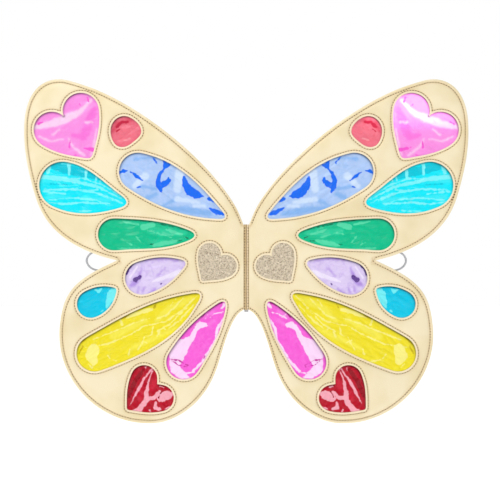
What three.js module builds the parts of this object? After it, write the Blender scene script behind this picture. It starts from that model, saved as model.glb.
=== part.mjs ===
// Fairy wings: two flat padded butterfly wings of gold leatherette, each with ten coloured
// film windows and a glitter heart, folding on a stitched spine and worn by two elastic loops.
//
// Millimetres. +Z is up, +X is the wearer's right, and the decorated face looks along -Y.
// The origin is the middle of the spine's back face, which rests on the wearer's back.
// Every outline is drawn for the right wing, as (distance from the centre line, height).

import * as THREE from 'three';

// ---- driving dimensions ------------------------------------------------------------------

const skinThickness = 0.8;
const coreThickness = 1.9;
const filmThickness = 0.25;
const layerGap = 0.05;

const filmSeam = 2.8; // how far a film runs on behind the leatherette, for the seam to hold
const tipSeamRatio = 1.5; // a narrow end runs on a little further than a side

const wingInnerEdge = 3; // the wings start this far from the centre line
const spineTop = 46;
const spineBottom = -46.5;

const bindingWidth = 5;
const bindingThickness = 0.8;
const tapeWidth = 4.4;
const tapeThickness = 1.3;
const tapeTail = 2.2; // the tape's lower end shows below the binding
const spineLayerGap = 0.1;

const strapWidth = 5;
const strapThickness = 1.8;
const strapEdgeCut = 0.4;
const strapSteps = 40;
const strapClearance = 0.3;

const anchorLength = 14;
const anchorHeight = 9;
const anchorThickness = 2.4;
const anchorInnerEnd = 17;
const anchorClearance = 0.1;

const outlineSteps = 9; // divisions of each curve of the wing's outline
const windowSteps = 6; // divisions of each curve of a window; its arcs get twice as many

// ---- the layers, from the back face at y = 0 towards the decorated face ----------------------

const backSkinBack = 0;
const coreBack = backSkinBack - skinThickness - layerGap;
const filmBack = coreBack - coreThickness - layerGap;
const frontSkinBack = filmBack - filmThickness - layerGap;
const bindingBack = -tapeThickness - spineLayerGap;

// ---- outlines --------------------------------------------------------------------------------

// The wing's edge, as cubic curves that each start where the last one ended.
const wingCurves = [
  { name: 'top edge', handles: [[19, 98], [114, 181]], end: [187, 200] },
  { name: 'top corner', handles: [[216, 210], [241, 193]], end: [240, 146] },
  { name: 'outer edge', handles: [[240, 122], [235, 101]], end: [229, 80] },
  { name: 'upper lobe below', handles: [[219, 42], [190, 19]], end: [140, 7] },
  { name: 'lower lobe above', handles: [[186, -14], [200, -26]], end: [202, -72] },
  { name: 'lower outer corner', handles: [[203, -124], [158, -170]], end: [104, -169] },
  { name: 'lower inner corner', handles: [[78, -170], [45, -148]], end: [32, -110] },
  { name: 'arch', handles: [[25, -90], [17, -52]], end: [wingInnerEdge, spineBottom] },
];

// A drop has a narrow tip and a round end. Its two sides would meet at the tip, leaving it at the
// angles given, in degrees from the outward direction. The tip is rounded over tipRound of each side,
// and each side joins the round end at its join angle.
const drops = {
  blue_drop: {
    tip: [19, 51.5], tipRound: 10.5, centre: [117, 103], radius: 20.5,
    over: { leave: 51, join: 102 }, under: { leave: 2, join: -56 },
  },
  aqua_drop: {
    tip: [122.4, 68], tipRound: 16, centre: [198.5, 88.5], radius: 25.3,
    over: { leave: 36, join: 100 }, under: { leave: -16, join: -65 },
  },
  green_drop: {
    tip: [48, 34.4], tipRound: 17, centre: [143, 35.2], radius: 17.3,
    over: { leave: 21, join: 92 }, under: { leave: -22, join: -95 },
  },
  lilac_drop: {
    tip: [62.5, 6], tipRound: 8.4, centre: [113, -12], radius: 18,
    over: { leave: 14, join: 70 }, under: { leave: -52, join: -105 },
  },
  teal_drop: {
    tip: [139.8, -23], tipRound: 3.5, centre: [168, -40], radius: 15,
    over: { leave: 14, join: 60 }, under: { leave: -80, join: -110 },
  },
  yellow_drop: {
    tip: [46.2, -26.7], tipRound: 11.5, centre: [164, -93.5], radius: 19.5,
    over: { leave: -8, join: 60 }, under: { leave: -62, join: -110 },
  },
  magenta_drop: {
    tip: [20.3, -32.3], tipRound: 14, centre: [68, -103], radius: 18.5,
    over: { leave: -34, join: 32 }, under: { leave: -80, join: -148 },
  },
};
const sidePull = 0.36; // length of a side's handles, as a share of its chord

// A heart has two round lobes about a centre and a tip below it, and leans by tilt degrees.
const hearts = {
  pink_heart: {
    centre: [194.5, 158.5], tilt: -33, lobe: 19.5, spread: 18.7, depth: 50,
    tipAngle: 48, tipRound: 6, cleft: 20,
  },
  red_heart: {
    centre: [101.6, -131], tilt: 50, lobe: 14.3, spread: 13.9, depth: 36,
    tipAngle: 50, tipRound: 2.5, cleft: 50,
  },
};
const glitterHeart = {
  centre: [31, 7.5], tilt: 37, lobe: 12, spread: 10.8, depth: 28.6,
  tipAngle: 46, tipRound: 2, cleft: 27,
};
const lobeJoin = 205; // where a heart's side meets its left lobe, in degrees

// The pebble is a smooth closed curve through these points.
const pebblePoints = [[113.5, 147], [122, 159.5], [136, 162.5], [146, 152], [144, 136], [134, 129.5], [121, 136]];

// The elastic runs from the upper anchor out to the notch, round, and back to the lower one.
const strapRoute = [
  [42, 28], [62, 18.5], [84, 16], [110, 15.8], [134, 17.2], [151, 18], [163, 17.2], [171, 12.5],
  [173.3, 6.5], [170.5, 0.5], [163.5, -3.3], [153, -2.6], [138, 4.5], [120, 10.8], [98, 12.3],
  [76, 12], [60, 8], [44, -2],
];
const upperAnchorHeight = 31;
const lowerAnchorHeight = -6;

// ---- materials -------------------------------------------------------------------------------

function finish(color, roughness, metalness = 0) {
  return { color, roughness, metalness };
}

const goldLeatherette = finish(0xf2dfba, 0.45, 0.25);
const bindingLeatherette = finish(0xd9bd8a, 0.5, 0.25);
const backLeatherette = finish(0xe9d9b8, 0.6, 0.1);
const foam = finish(0xf4f1ea, 0.95);
const glitter = finish(0xcdbeaa, 0.55, 0.5);
const elastic = finish(0xd8d8d6, 0.85);
const tape = finish(0xdcdad4, 0.9);
const filmFinishes = {
  pink_heart: finish(0xff7fdc, 0.12),
  coral_pebble: finish(0xf0525f, 0.12),
  blue_drop: finish(0x8fb8fa, 0.12),
  aqua_drop: finish(0x2fe6ee, 0.12),
  green_drop: finish(0x0bc893, 0.12),
  lilac_drop: finish(0xd9c2f2, 0.12),
  teal_drop: finish(0x0bc3ea, 0.12),
  yellow_drop: finish(0xf0e12c, 0.12),
  magenta_drop: finish(0xff6fe0, 0.12),
  red_heart: finish(0xb8062c, 0.12),
};

// ---- shape helpers ---------------------------------------------------------------------------

function direction(degrees) {
  const angle = THREE.MathUtils.degToRad(degrees);
  return new THREE.Vector2(Math.cos(angle), Math.sin(angle));
}

function clockwise(degrees) {
  return direction(degrees - 90);
}

function curveTo(path, handleA, handleB, end) {
  path.bezierCurveTo(handleA.x, handleA.y, handleB.x, handleB.y, end.x, end.y);
}

function wingOutline() {
  const path = new THREE.Path();
  path.moveTo(wingInnerEdge, spineBottom);
  path.lineTo(wingInnerEdge, spineTop);
  for (const { handles: [first, second], end } of wingCurves) {
    path.bezierCurveTo(...first, ...second, ...end);
  }
  return path.getPoints(outlineSteps);
}

function dropOutline({ tip, tipRound, centre, radius, over, under }, grow) {
  const middle = new THREE.Vector2(...centre);
  const point = new THREE.Vector2(...tip);
  const away = point.clone().sub(middle).normalize();
  point.addScaledVector(away, grow * tipSeamRatio);
  const reach = radius + grow;
  const shoulderOver = point.clone().addScaledVector(direction(over.leave), tipRound);
  const shoulderUnder = point.clone().addScaledVector(direction(under.leave), tipRound);

  const path = new THREE.Path();
  path.moveTo(shoulderOver.x, shoulderOver.y);

  const joinOver = middle.clone().addScaledVector(direction(over.join), reach);
  const pullOver = sidePull * joinOver.distanceTo(shoulderOver);
  const leaveOver = shoulderOver.clone().addScaledVector(direction(over.leave), pullOver);
  const arriveOver = joinOver.clone().addScaledVector(clockwise(over.join), -pullOver);
  curveTo(path, leaveOver, arriveOver, joinOver);

  const { degToRad } = THREE.MathUtils;
  path.absarc(middle.x, middle.y, reach, degToRad(over.join), degToRad(under.join), true);

  const joinUnder = middle.clone().addScaledVector(direction(under.join), reach);
  const pullUnder = sidePull * joinUnder.distanceTo(shoulderUnder);
  const leaveUnder = joinUnder.clone().addScaledVector(clockwise(under.join), pullUnder);
  const arriveUnder = shoulderUnder.clone().addScaledVector(direction(under.leave), pullUnder);
  curveTo(path, leaveUnder, arriveUnder, shoulderUnder);

  path.quadraticCurveTo(point.x, point.y, shoulderOver.x, shoulderOver.y);
  return path.getPoints(windowSteps);
}

// One half of a heart about its own upright axis, from the tip's left shoulder to the cleft.
function heartHalf({ lobe, spread, depth, tipAngle, tipRound, cleft }, grow) {
  const reach = lobe + grow;
  const tip = new THREE.Vector2(0, -depth - grow * tipSeamRatio);
  const sideways = direction(90 + tipAngle);
  const shoulder = tip.clone().addScaledVector(sideways, tipRound);
  const lobeCentre = new THREE.Vector2(-spread, 0);
  const join = lobeCentre.clone().addScaledVector(direction(lobeJoin), reach);
  const pull = sidePull * join.distanceTo(shoulder);

  const path = new THREE.Path();
  path.moveTo(shoulder.x, shoulder.y);
  const leave = shoulder.clone().addScaledVector(sideways, pull);
  const arrive = join.clone().addScaledVector(clockwise(lobeJoin), -pull);
  curveTo(path, leave, arrive, join);

  const { degToRad, radToDeg } = THREE.MathUtils;
  const touching = radToDeg(Math.acos(Math.min(1, spread / reach)));
  const arcEnd = Math.max(cleft, touching);
  path.absarc(lobeCentre.x, lobeCentre.y, reach, degToRad(lobeJoin), degToRad(arcEnd), true);

  const last = lobeCentre.clone().addScaledVector(direction(arcEnd), reach);
  const slope = clockwise(arcEnd);
  const cleftHeight = last.y - (last.x * slope.y) / slope.x;
  const points = path.getPoints(windowSteps);
  if (arcEnd === touching) points.pop();
  return { points, tip, cleftPoint: new THREE.Vector2(0, cleftHeight) };
}

function heartOutline(heart, grow) {
  const { points: left, tip, cleftPoint } = heartHalf(heart, grow);
  const right = left.map((point) => new THREE.Vector2(-point.x, point.y)).reverse();
  const roundedTip = new THREE.QuadraticBezierCurve(right.at(-1), tip, left[0]).getPoints(3).slice(1, -1);
  const centre = new THREE.Vector2(...heart.centre);
  const turn = THREE.MathUtils.degToRad(heart.tilt);
  const origin = new THREE.Vector2();
  return [...left, cleftPoint, ...right, ...roundedTip]
    .map((point) => point.clone().rotateAround(origin, turn).add(centre));
}

function pebbleOutline(grow) {
  const points = pebblePoints.map(([x, height]) => new THREE.Vector3(x, height, 0));
  const middle = new THREE.Vector3();
  for (const point of points) middle.addScaledVector(point, 1 / points.length);
  for (const point of points) {
    const outward = point.clone().sub(middle).normalize();
    point.addScaledVector(outward, grow);
  }
  const curve = new THREE.CatmullRomCurve3(points, true, 'catmullrom', 0.6);
  const around = curve.getPoints(3 * points.length).slice(0, -1);
  return around.map((point) => new THREE.Vector2(point.x, point.y));
}

// Every film window's outline, grown by the seam allowance when it is wanted for the film.
function windowOutlines(grow) {
  const outlines = {};
  for (const [name, heart] of Object.entries(hearts)) outlines[name] = heartOutline(heart, grow);
  for (const [name, drop] of Object.entries(drops)) outlines[name] = dropOutline(drop, grow);
  outlines.coral_pebble = pebbleOutline(grow);
  return outlines;
}

// ---- solids ----------------------------------------------------------------------------------

function mesh(name, geometry, look) {
  const solid = new THREE.Mesh(geometry, new THREE.MeshStandardMaterial(look));
  solid.name = name;
  return solid;
}

// Outlines run clockwise on the right wing. Both wings' run anticlockwise once on their side.
function onSide(side, points) {
  const placed = points.map((point) => new THREE.Vector2(side * point.x, point.y));
  return side > 0 ? placed.reverse() : placed;
}

// A flat sheet of the given outline and holes, from its back face towards the decorated side.
function sheet(name, side, outline, holes, back, thickness, look) {
  const shape = new THREE.Shape(onSide(side, outline));
  shape.holes = holes.map((hole) => new THREE.Path(onSide(side, hole)));
  const geometry = new THREE.ExtrudeGeometry(shape, { depth: thickness, bevelEnabled: false, steps: 1 });
  const solid = mesh(name, geometry, look);
  solid.rotation.x = Math.PI / 2;
  solid.position.y = back;
  return solid;
}

function block(name, size, middle, look) {
  const solid = mesh(name, new THREE.BoxGeometry(...size), look);
  solid.position.set(...middle);
  return solid;
}

// The band's section, standing on edge: its width is across the wing's plane.
function strapSection() {
  const halfWidth = strapWidth / 2;
  const halfThickness = strapThickness / 2;
  const innerWidth = halfWidth - strapEdgeCut;
  const innerThickness = halfThickness - strapEdgeCut;
  return new THREE.Shape([
    new THREE.Vector2(halfWidth, innerThickness),
    new THREE.Vector2(innerWidth, halfThickness),
    new THREE.Vector2(-innerWidth, halfThickness),
    new THREE.Vector2(-halfWidth, innerThickness),
    new THREE.Vector2(-halfWidth, -innerThickness),
    new THREE.Vector2(-innerWidth, -halfThickness),
    new THREE.Vector2(innerWidth, -halfThickness),
    new THREE.Vector2(halfWidth, -innerThickness),
  ]);
}

function armStrap(name, side) {
  const start = anchorInnerEnd + anchorLength + strapClearance;
  const route = [[start, upperAnchorHeight], ...strapRoute, [start, lowerAnchorHeight]];
  const middle = strapClearance + strapWidth / 2;
  const points = route.map(([x, height]) => new THREE.Vector3(side * x, middle, height));
  const path = new THREE.CatmullRomCurve3(points, false, 'centripetal');
  const geometry = new THREE.ExtrudeGeometry(strapSection(), { steps: strapSteps, extrudePath: path });
  return mesh(name, geometry, elastic);
}

function strapAnchor(name, side, height) {
  const size = [anchorLength, anchorThickness, anchorHeight];
  const x = side * (anchorInnerEnd + anchorLength / 2);
  const y = anchorClearance + anchorThickness / 2;
  return block(name, size, [x, y, height], backLeatherette);
}

function wing(prefix, side) {
  const outline = wingOutline();
  const openings = Object.values(windowOutlines(0));
  const heartOpening = heartOutline(glitterHeart, 0);
  const group = new THREE.Group();

  group.add(sheet(`${prefix}_front_skin`, side, outline, [...openings, heartOpening],
    frontSkinBack, skinThickness, goldLeatherette));
  group.add(sheet(`${prefix}_foam_core`, side, outline, openings, coreBack, coreThickness, foam));
  group.add(sheet(`${prefix}_back_skin`, side, outline, openings,
    backSkinBack, skinThickness, backLeatherette));

  for (const [name, film] of Object.entries(windowOutlines(filmSeam))) {
    group.add(sheet(`${prefix}_${name}_film`, side, film, [], filmBack, filmThickness, filmFinishes[name]));
  }
  group.add(sheet(`${prefix}_glitter_heart`, side, heartOutline(glitterHeart, filmSeam), [],
    filmBack, filmThickness, glitter));

  group.add(armStrap(`${prefix}_arm_strap`, side));
  group.add(strapAnchor(`${prefix}_upper_strap_anchor`, side, upperAnchorHeight));
  group.add(strapAnchor(`${prefix}_lower_strap_anchor`, side, lowerAnchorHeight));
  return group;
}

function spine() {
  const group = new THREE.Group();
  const bindingHeight = spineTop - spineBottom;
  const bindingMiddle = (spineTop + spineBottom) / 2;
  group.add(block('spine_binding', [bindingWidth, bindingThickness, bindingHeight],
    [0, bindingBack - bindingThickness / 2, bindingMiddle], bindingLeatherette));
  group.add(block('spine_tape', [tapeWidth, tapeThickness, bindingHeight + tapeTail],
    [0, -tapeThickness / 2, bindingMiddle - tapeTail / 2], tape));
  return group;
}

const fairyWings = new THREE.Group();
fairyWings.add(spine(), wing('right', 1), wing('left', -1));

export default fairyWings;
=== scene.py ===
# %% [markdown]
# # Fairy wings
# A pair of butterfly wings for a child: gold leatherette puffed over thin wadding, cut with windows of
# coloured film, sewn all round with tan thread, and folding on a stitched spine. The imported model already
# holds every part at its real size, so this lesson only dresses it. Everything is in metres.

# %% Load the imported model
import math

import bpy
import numpy as np
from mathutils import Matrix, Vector, geometry, kdtree, noise


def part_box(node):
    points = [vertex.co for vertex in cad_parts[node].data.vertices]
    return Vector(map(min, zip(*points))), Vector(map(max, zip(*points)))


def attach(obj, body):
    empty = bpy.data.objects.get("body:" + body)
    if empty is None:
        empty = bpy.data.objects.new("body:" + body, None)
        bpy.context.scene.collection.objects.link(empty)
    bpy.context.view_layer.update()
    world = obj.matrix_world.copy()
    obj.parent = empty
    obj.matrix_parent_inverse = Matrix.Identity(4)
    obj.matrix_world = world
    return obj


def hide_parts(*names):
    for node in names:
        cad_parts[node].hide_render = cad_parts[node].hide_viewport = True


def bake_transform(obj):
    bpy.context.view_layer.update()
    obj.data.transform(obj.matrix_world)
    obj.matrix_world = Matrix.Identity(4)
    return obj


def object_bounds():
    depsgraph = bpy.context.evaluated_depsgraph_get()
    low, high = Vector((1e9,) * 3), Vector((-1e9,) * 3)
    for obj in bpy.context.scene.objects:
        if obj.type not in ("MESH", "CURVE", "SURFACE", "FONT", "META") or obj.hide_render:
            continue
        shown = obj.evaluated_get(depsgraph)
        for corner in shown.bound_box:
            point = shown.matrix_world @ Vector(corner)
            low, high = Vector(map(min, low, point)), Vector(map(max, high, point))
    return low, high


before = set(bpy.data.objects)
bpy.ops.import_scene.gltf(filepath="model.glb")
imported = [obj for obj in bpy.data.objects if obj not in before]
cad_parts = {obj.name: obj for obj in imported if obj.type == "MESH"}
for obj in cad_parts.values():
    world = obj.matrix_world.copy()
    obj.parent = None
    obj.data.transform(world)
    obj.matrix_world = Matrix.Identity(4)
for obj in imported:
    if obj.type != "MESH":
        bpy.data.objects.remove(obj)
cad_low, cad_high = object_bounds()
mm = 0.001

# %% [markdown]
# ## The camera
# The wings are nearly flat, so they are seen straight on through a long lens, which keeps both wings the
# same size. The camera stands where the frame's width fills the picture with a little air on each side.

# %% Stand the camera in front
air = 1.125  # how much wider the picture is than the wings
aside, above = 4 * mm, 1.5 * mm  # how far off the wings' middle the camera stands
picture_width = air * (cad_high.x - cad_low.x)
lens, sensor = 85.0, 36.0
camera_distance = picture_width * lens / sensor
middle = (cad_low + cad_high) / 2

camera = bpy.data.objects.new("camera", bpy.data.cameras.new("camera"))
bpy.context.scene.collection.objects.link(camera)
camera.data.lens = lens
camera.data.sensor_width = sensor
camera.location = (middle.x + aside, cad_low.y - camera_distance, middle.z + above)
camera.rotation_euler = (math.pi / 2, 0, 0)
bpy.context.scene.camera = camera
print("camera stands", round(camera_distance, 3), "m away")

# %% [markdown]
# ## Curves through points
# A smooth line through a few points is what a maker draws with a bent spline. The centripetal kind is used
# because it never overshoots where the points are unevenly spaced, and it is the same line as the CAD's.


# %% Draw a smooth line through points
def line_through(points, closed=False, pieces=10):
    """Points along the centripetal Catmull-Rom line, with the last point left out if closed."""
    points = np.asarray(points, float)
    if closed:
        padded = np.vstack([points[-1], points, points[:2]])
    else:
        padded = np.vstack([2 * points[0] - points[1], points, 2 * points[-1] - points[-2]])
    line = []
    for a, b, c, d in zip(padded, padded[1:], padded[2:], padded[3:]):
        gaps = [max(np.linalg.norm(q - p) ** 0.5, 1e-9) for p, q in ((a, b), (b, c), (c, d))]
        t1, t2, t3 = np.cumsum(gaps)
        for t in np.linspace(t1, t2, pieces, endpoint=False):
            ab = a + (b - a) * t / t1
            bc = b + (c - b) * (t - t1) / (t2 - t1)
            cd = c + (d - c) * (t - t2) / (t3 - t2)
            abc = ab + (bc - ab) * t / t2
            bcd = bc + (cd - bc) * (t - t1) / (t3 - t1)
            line.append(abc + (bcd - abc) * (t - t1) / (t2 - t1))
    if not closed:
        line.append(points[-1])
    return np.array(line)


def run_along(line):
    """The distance along a line to each of its points."""
    return np.concatenate([[0], np.cumsum(np.linalg.norm(np.diff(line, axis=0), axis=1))])


def even_steps(line, step, closed=False):
    """The line again, as points about one step apart."""
    run = np.vstack([line, line[:1]]) if closed else line
    along = run_along(run)
    count = max(2, round(along[-1] / step))
    places = np.linspace(0, along[-1], count + 1)
    if closed:
        places = places[:-1]
    return np.stack([np.interp(places, along, run[:, k]) for k in range(run.shape[1])], axis=1)


# %% [markdown]
# ## The elastic's route
# The arm strap is a loop of flat elastic, sewn down near the spine, and stored along the bar of leatherette
# between two windows. Only the end of the loop shows, in the notch. The route is the CAD's own list.

# %% Lay out the strap's route
strap_route = [
    (31.3, 31), (42, 28), (62, 18.5), (84, 16), (110, 15.8), (134, 17.2), (151, 18), (163, 17.2), (171, 12.5),
    (173.3, 6.5), (170.5, 0.5), (163.5, -3.3), (153, -2.6), (138, 4.5), (120, 10.8), (98, 12.3),
    (76, 12), (60, 8), (44, -2), (31.3, -6),
]
strap_width, strap_thickness = 5 * mm, 1.8 * mm

# %% [markdown]
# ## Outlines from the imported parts
# Each skin's front face is a flat polygon with holes. Its border edges are the ones that belong to only one
# of its triangles, and they chain into loops. A loop is smoothed by a line through its corners, broken only
# where the real edge has a point, such as a heart's tip or cleft.


# %% Read a part's border loops
def border_loops(node):
    """The closed loops round the front face of a flat CAD node, as (x, z) arrays in metres, largest first."""
    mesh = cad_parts[node].data
    front = min(v.co.y for v in mesh.vertices)
    place = {v.index: (round(v.co.x, 6), round(v.co.z, 6)) for v in mesh.vertices if v.co.y < front + 1e-5}
    directed = set()
    for face in mesh.polygons:
        corners = list(face.vertices)
        if all(i in place for i in corners):
            for a, b in zip(corners, corners[1:] + corners[:1]):
                directed.add((place[a], place[b]))
    after = {a: b for a, b in directed if (b, a) not in directed}
    loops = []
    while after:
        start = min(after)
        loop, here = [start], after.pop(start)
        while here != start:
            loop.append(here)
            here = after.pop(here)
        loops.append(np.array(loop))
    return sorted(loops, key=lambda loop: -abs(signed_area(loop)))


def signed_area(loop):
    x, z = loop.T
    return float((x * np.roll(z, -1) - z * np.roll(x, -1)).sum() / 2)


# %% Smooth a loop and keep its corners
def smooth_border(loop, step, corner=math.radians(38)):
    """The loop as an even smooth border, anticlockwise, which keeps its sharp corners."""
    if signed_area(loop) < 0:
        loop = loop[::-1]
    before, ahead = loop - np.roll(loop, 1, 0), np.roll(loop, -1, 0) - loop
    cross = before[:, 0] * ahead[:, 1] - before[:, 1] * ahead[:, 0]
    turn = np.abs(np.arctan2(cross, (before * ahead).sum(1)))
    lengths = np.linalg.norm(before, axis=1), np.linalg.norm(ahead, axis=1)
    uneven = np.maximum(*lengths) > 4 * np.minimum(*lengths)
    corners = np.flatnonzero((turn > corner) | (uneven & (turn > corner / 4)))
    if not len(corners):
        return even_steps(line_through(loop, closed=True), step, closed=True)
    runs = []
    for first, last in zip(corners, [*corners[1:], corners[0] + len(loop)]):
        run = loop[np.arange(first, last + 1) % len(loop)]
        line = line_through(run) if len(run) > 2 else run
        runs.append(even_steps(line, step)[:-1])
    return np.vstack(runs)


# %% Name the windows by what fills them
window_names = [
    "pink_heart", "coral_pebble", "blue_drop", "aqua_drop", "green_drop",
    "lilac_drop", "teal_drop", "yellow_drop", "magenta_drop", "red_heart",
]
border_step = 1.5 * mm


def name_windows(loops):
    """The loops keyed by the film or heart that fills each of them."""
    named = {}
    for name in [*window_names, "glitter_heart"]:
        node = f"right_{name}" if name == "glitter_heart" else f"right_{name}_film"
        low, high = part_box(node)
        centre = np.array([(low.x + high.x) / 2, (low.z + high.z) / 2])
        nearest = min(loops, key=lambda loop: np.linalg.norm((loop.min(0) + loop.max(0)) / 2 - centre))
        named[name] = smooth_border(nearest, border_step)
    return named


front_loops = border_loops("right_front_skin")
wing_border = smooth_border(front_loops[0], border_step)
windows = name_windows(front_loops[1:])
print("wing border", len(wing_border), "points, windows", {k: len(v) for k, v in windows.items()})

# %% [markdown]
# ## Distance to an edge
# A sewn panel rises and falls with its distance from the nearest edge: it rolls over at the cut, dips at the
# seam and puffs up beyond it. A search tree over the border points gives that distance fast.


# %% Measure how far points are from a border
finder_step = 0.5 * mm  # how finely a border is sampled for the search


def search_tree(points):
    tree = kdtree.KDTree(len(points))
    for i, (x, z) in enumerate(points):
        tree.insert((x, 0, z), i)
    tree.balance()
    return tree


def finder(*borders):
    return search_tree(np.vstack([even_steps(b, finder_step, closed=True) for b in borders]))


def distances(tree, points):
    return np.array([tree.find((x, 0, z))[2] for x, z in points])


# %% Tell inside from outside, and offset a border
def inside(points, border):
    """True for each point inside the border, by counting crossings."""
    hits = np.zeros(len(points), bool)
    x, z = points.T
    for (ax, az), (bx, bz) in zip(border, np.roll(border, -1, 0)):
        if az == bz:
            continue
        crosses = (az > z) != (bz > z)
        hits ^= crosses & (x < (bx - ax) * (z - az) / (bz - az) + ax)
    return hits


def edge_normals(border):
    """Unit normals to the right of an anticlockwise border, which is outward."""
    along = np.roll(border, -1, 0) - np.roll(border, 1, 0)
    along /= np.maximum(np.linalg.norm(along, axis=1), 1e-12)[:, None]
    return np.stack([along[:, 1], -along[:, 0]], axis=1)


knot_clearance = 0.93  # how much of its offset a moved point must really keep


def offset_border(border, distance, step=border_step):
    """The border moved outward by distance, inward if negative, without the knots this makes at corners."""
    moved = border + edge_normals(border) * distance
    clear = distances(finder(border), moved) > knot_clearance * abs(distance)
    return even_steps(moved[clear], step, closed=True)


# %% [markdown]
# ## Cutting a panel
# A panel is a flat triangle mesh between its outer border and its holes. Rows of points follow each edge, so
# that the seam's groove is drawn finely, and a coarser even grid fills the rest. Constrained Delaunay
# triangulation joins them all, and the triangles in the holes are dropped.


# %% Fill an area with an even grid
def grid_points(border, spacing):
    low, high = border.min(0), border.max(0)
    rows = np.arange(low[1], high[1], spacing * 0.866)
    points = []
    for r, z in enumerate(rows):
        x = np.arange(low[0] + (r % 2) * spacing / 2, high[0], spacing)
        points.append(np.stack([x, np.full(len(x), z)], axis=1))
    return np.vstack(points)


# %% Keep points from crowding
def thin_out(points, taken, gap):
    """The points that keep a gap from each other and from those already taken."""
    cell = {}
    kept = []

    def crowded(p):
        i, j = int(p[0] // gap), int(p[1] // gap)
        for a in (i - 1, i, i + 1):
            for b in (j - 1, j, j + 1):
                if any((p[0] - q[0]) ** 2 + (p[1] - q[1]) ** 2 < gap * gap for q in cell.get((a, b), ())):
                    return True
        return False

    for p in taken:
        cell.setdefault((int(p[0] // gap), int(p[1] // gap)), []).append(p)
    for p in points:
        if not crowded(p):
            cell.setdefault((int(p[0] // gap), int(p[1] // gap)), []).append(p)
            kept.append(p)
    return np.array(kept).reshape(-1, 2)


# %% Group the triangles between borders
def regions(triangles, fences):
    """Groups of triangles that touch without crossing a fence, which is an edge of some border."""
    beside = {}
    for t, (a, b, c) in enumerate(triangles.tolist()):
        for edge in (frozenset((a, b)), frozenset((b, c)), frozenset((c, a))):
            if edge not in fences:
                beside.setdefault(edge, []).append(t)
    near = [[] for _ in triangles]
    for pair in beside.values():
        if len(pair) == 2:
            near[pair[0]].append(pair[1])
            near[pair[1]].append(pair[0])
    found, seen = [], np.zeros(len(triangles), bool)
    for first in range(len(triangles)):
        if seen[first]:
            continue
        seen[first] = True
        group, queue = [], [first]
        while queue:
            here = queue.pop()
            group.append(here)
            for other in near[here]:
                if not seen[other]:
                    seen[other] = True
                    queue.append(other)
        found.append(group)
    return found


# %% Triangulate between the borders
sliver = 0.01 * mm ** 2


def triangulate(borders, extra):
    """Vertices and triangles between borders[0] and the other borders. The borders' points come first."""
    points = np.vstack([*borders, extra]) if len(extra) else np.vstack(borders)
    edges, start = [], 0
    for border in borders:
        ring = np.arange(start, start + len(border))
        edges += list(zip(ring.tolist(), np.roll(ring, -1).tolist()))
        start += len(border)
    scaled = [Vector(p) for p in (points / mm).tolist()]
    found = geometry.delaunay_2d_cdt(scaled, edges, [], 0, 1e-5)
    origin = [source[0] if source else None for source in found[3]]
    triangles = np.array([[origin[i] for i in face] for face in found[2] if None not in
                          [origin[i] for i in face]])
    fenced = {frozenset(edge) for edge in edges}
    keep = np.zeros(len(triangles), bool)
    for region in regions(triangles, fenced):
        corners = points[triangles[region]]
        sides_of = corners[:, 1:] - corners[:, :1]
        areas = np.abs(np.cross(sides_of[:, 0], sides_of[:, 1]))
        if areas.max() < sliver:
            continue
        centre = corners[int(areas.argmax())].mean(0)[None]
        keep[region] = inside(centre, borders[0])[0] and not any(inside(centre, h)[0] for h in borders[1:])
    triangles = triangles[keep]
    a, b, c = (points[triangles[:, k]] for k in range(3))
    flipped = np.cross(b - a, c - a) < 0
    triangles[flipped] = triangles[flipped][:, ::-1]
    return points, triangles


# %% Lay rows of points and cut a panel
row_clearance = 0.94  # how much of a row's distance a point must really keep from every edge
crowding = 0.62 * mm  # how close two points of the rows may come


def panel(outer, holes, rows, spacing):
    """A panel with rows of points at those distances from every edge, and a grid beyond the last row."""
    borders = [outer, *holes]
    tree = finder(*borders)
    extra = np.zeros((0, 2))
    taken = np.vstack(borders)
    for row in rows:
        ring = np.vstack([outer - edge_normals(outer) * row, *[h + edge_normals(h) * row for h in holes]])
        ring = ring[distances(tree, ring) > row_clearance * row]
        ring = thin_out(ring, np.vstack([taken, extra]), crowding)
        extra = np.vstack([extra, ring])
    grid = grid_points(outer, spacing)
    grid = grid[inside(grid, outer)]
    for hole in holes:
        grid = grid[~inside(grid, hole)]
    grid = grid[distances(tree, grid) > (rows[-1] if len(rows) else 0) + 0.6 * spacing]
    return triangulate(borders, np.vstack([extra, grid]))


# %% [markdown]
# ## Making a closed piece
# Every sewn piece has two faces and a cut edge. The front face carries the relief, the back face is a plain
# triangulation of the same borders, and a band of quads joins them, so the piece is one closed body.


# %% Close a panel into a solid piece
def new_piece(name, vertices, faces, body, material, slot, sharp=math.radians(50)):
    mesh = bpy.data.meshes.new(name)
    mesh.from_pydata(np.asarray(vertices).tolist(), [], [list(map(int, f)) for f in faces])
    mesh.validate()
    mesh.shade_smooth()
    mesh.set_sharp_from_angle(angle=sharp)
    mesh.materials.append(material)
    piece = bpy.data.objects.new(name, mesh)
    bpy.context.scene.collection.objects.link(piece)
    if body:
        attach(piece, body)
    return piece


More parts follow.
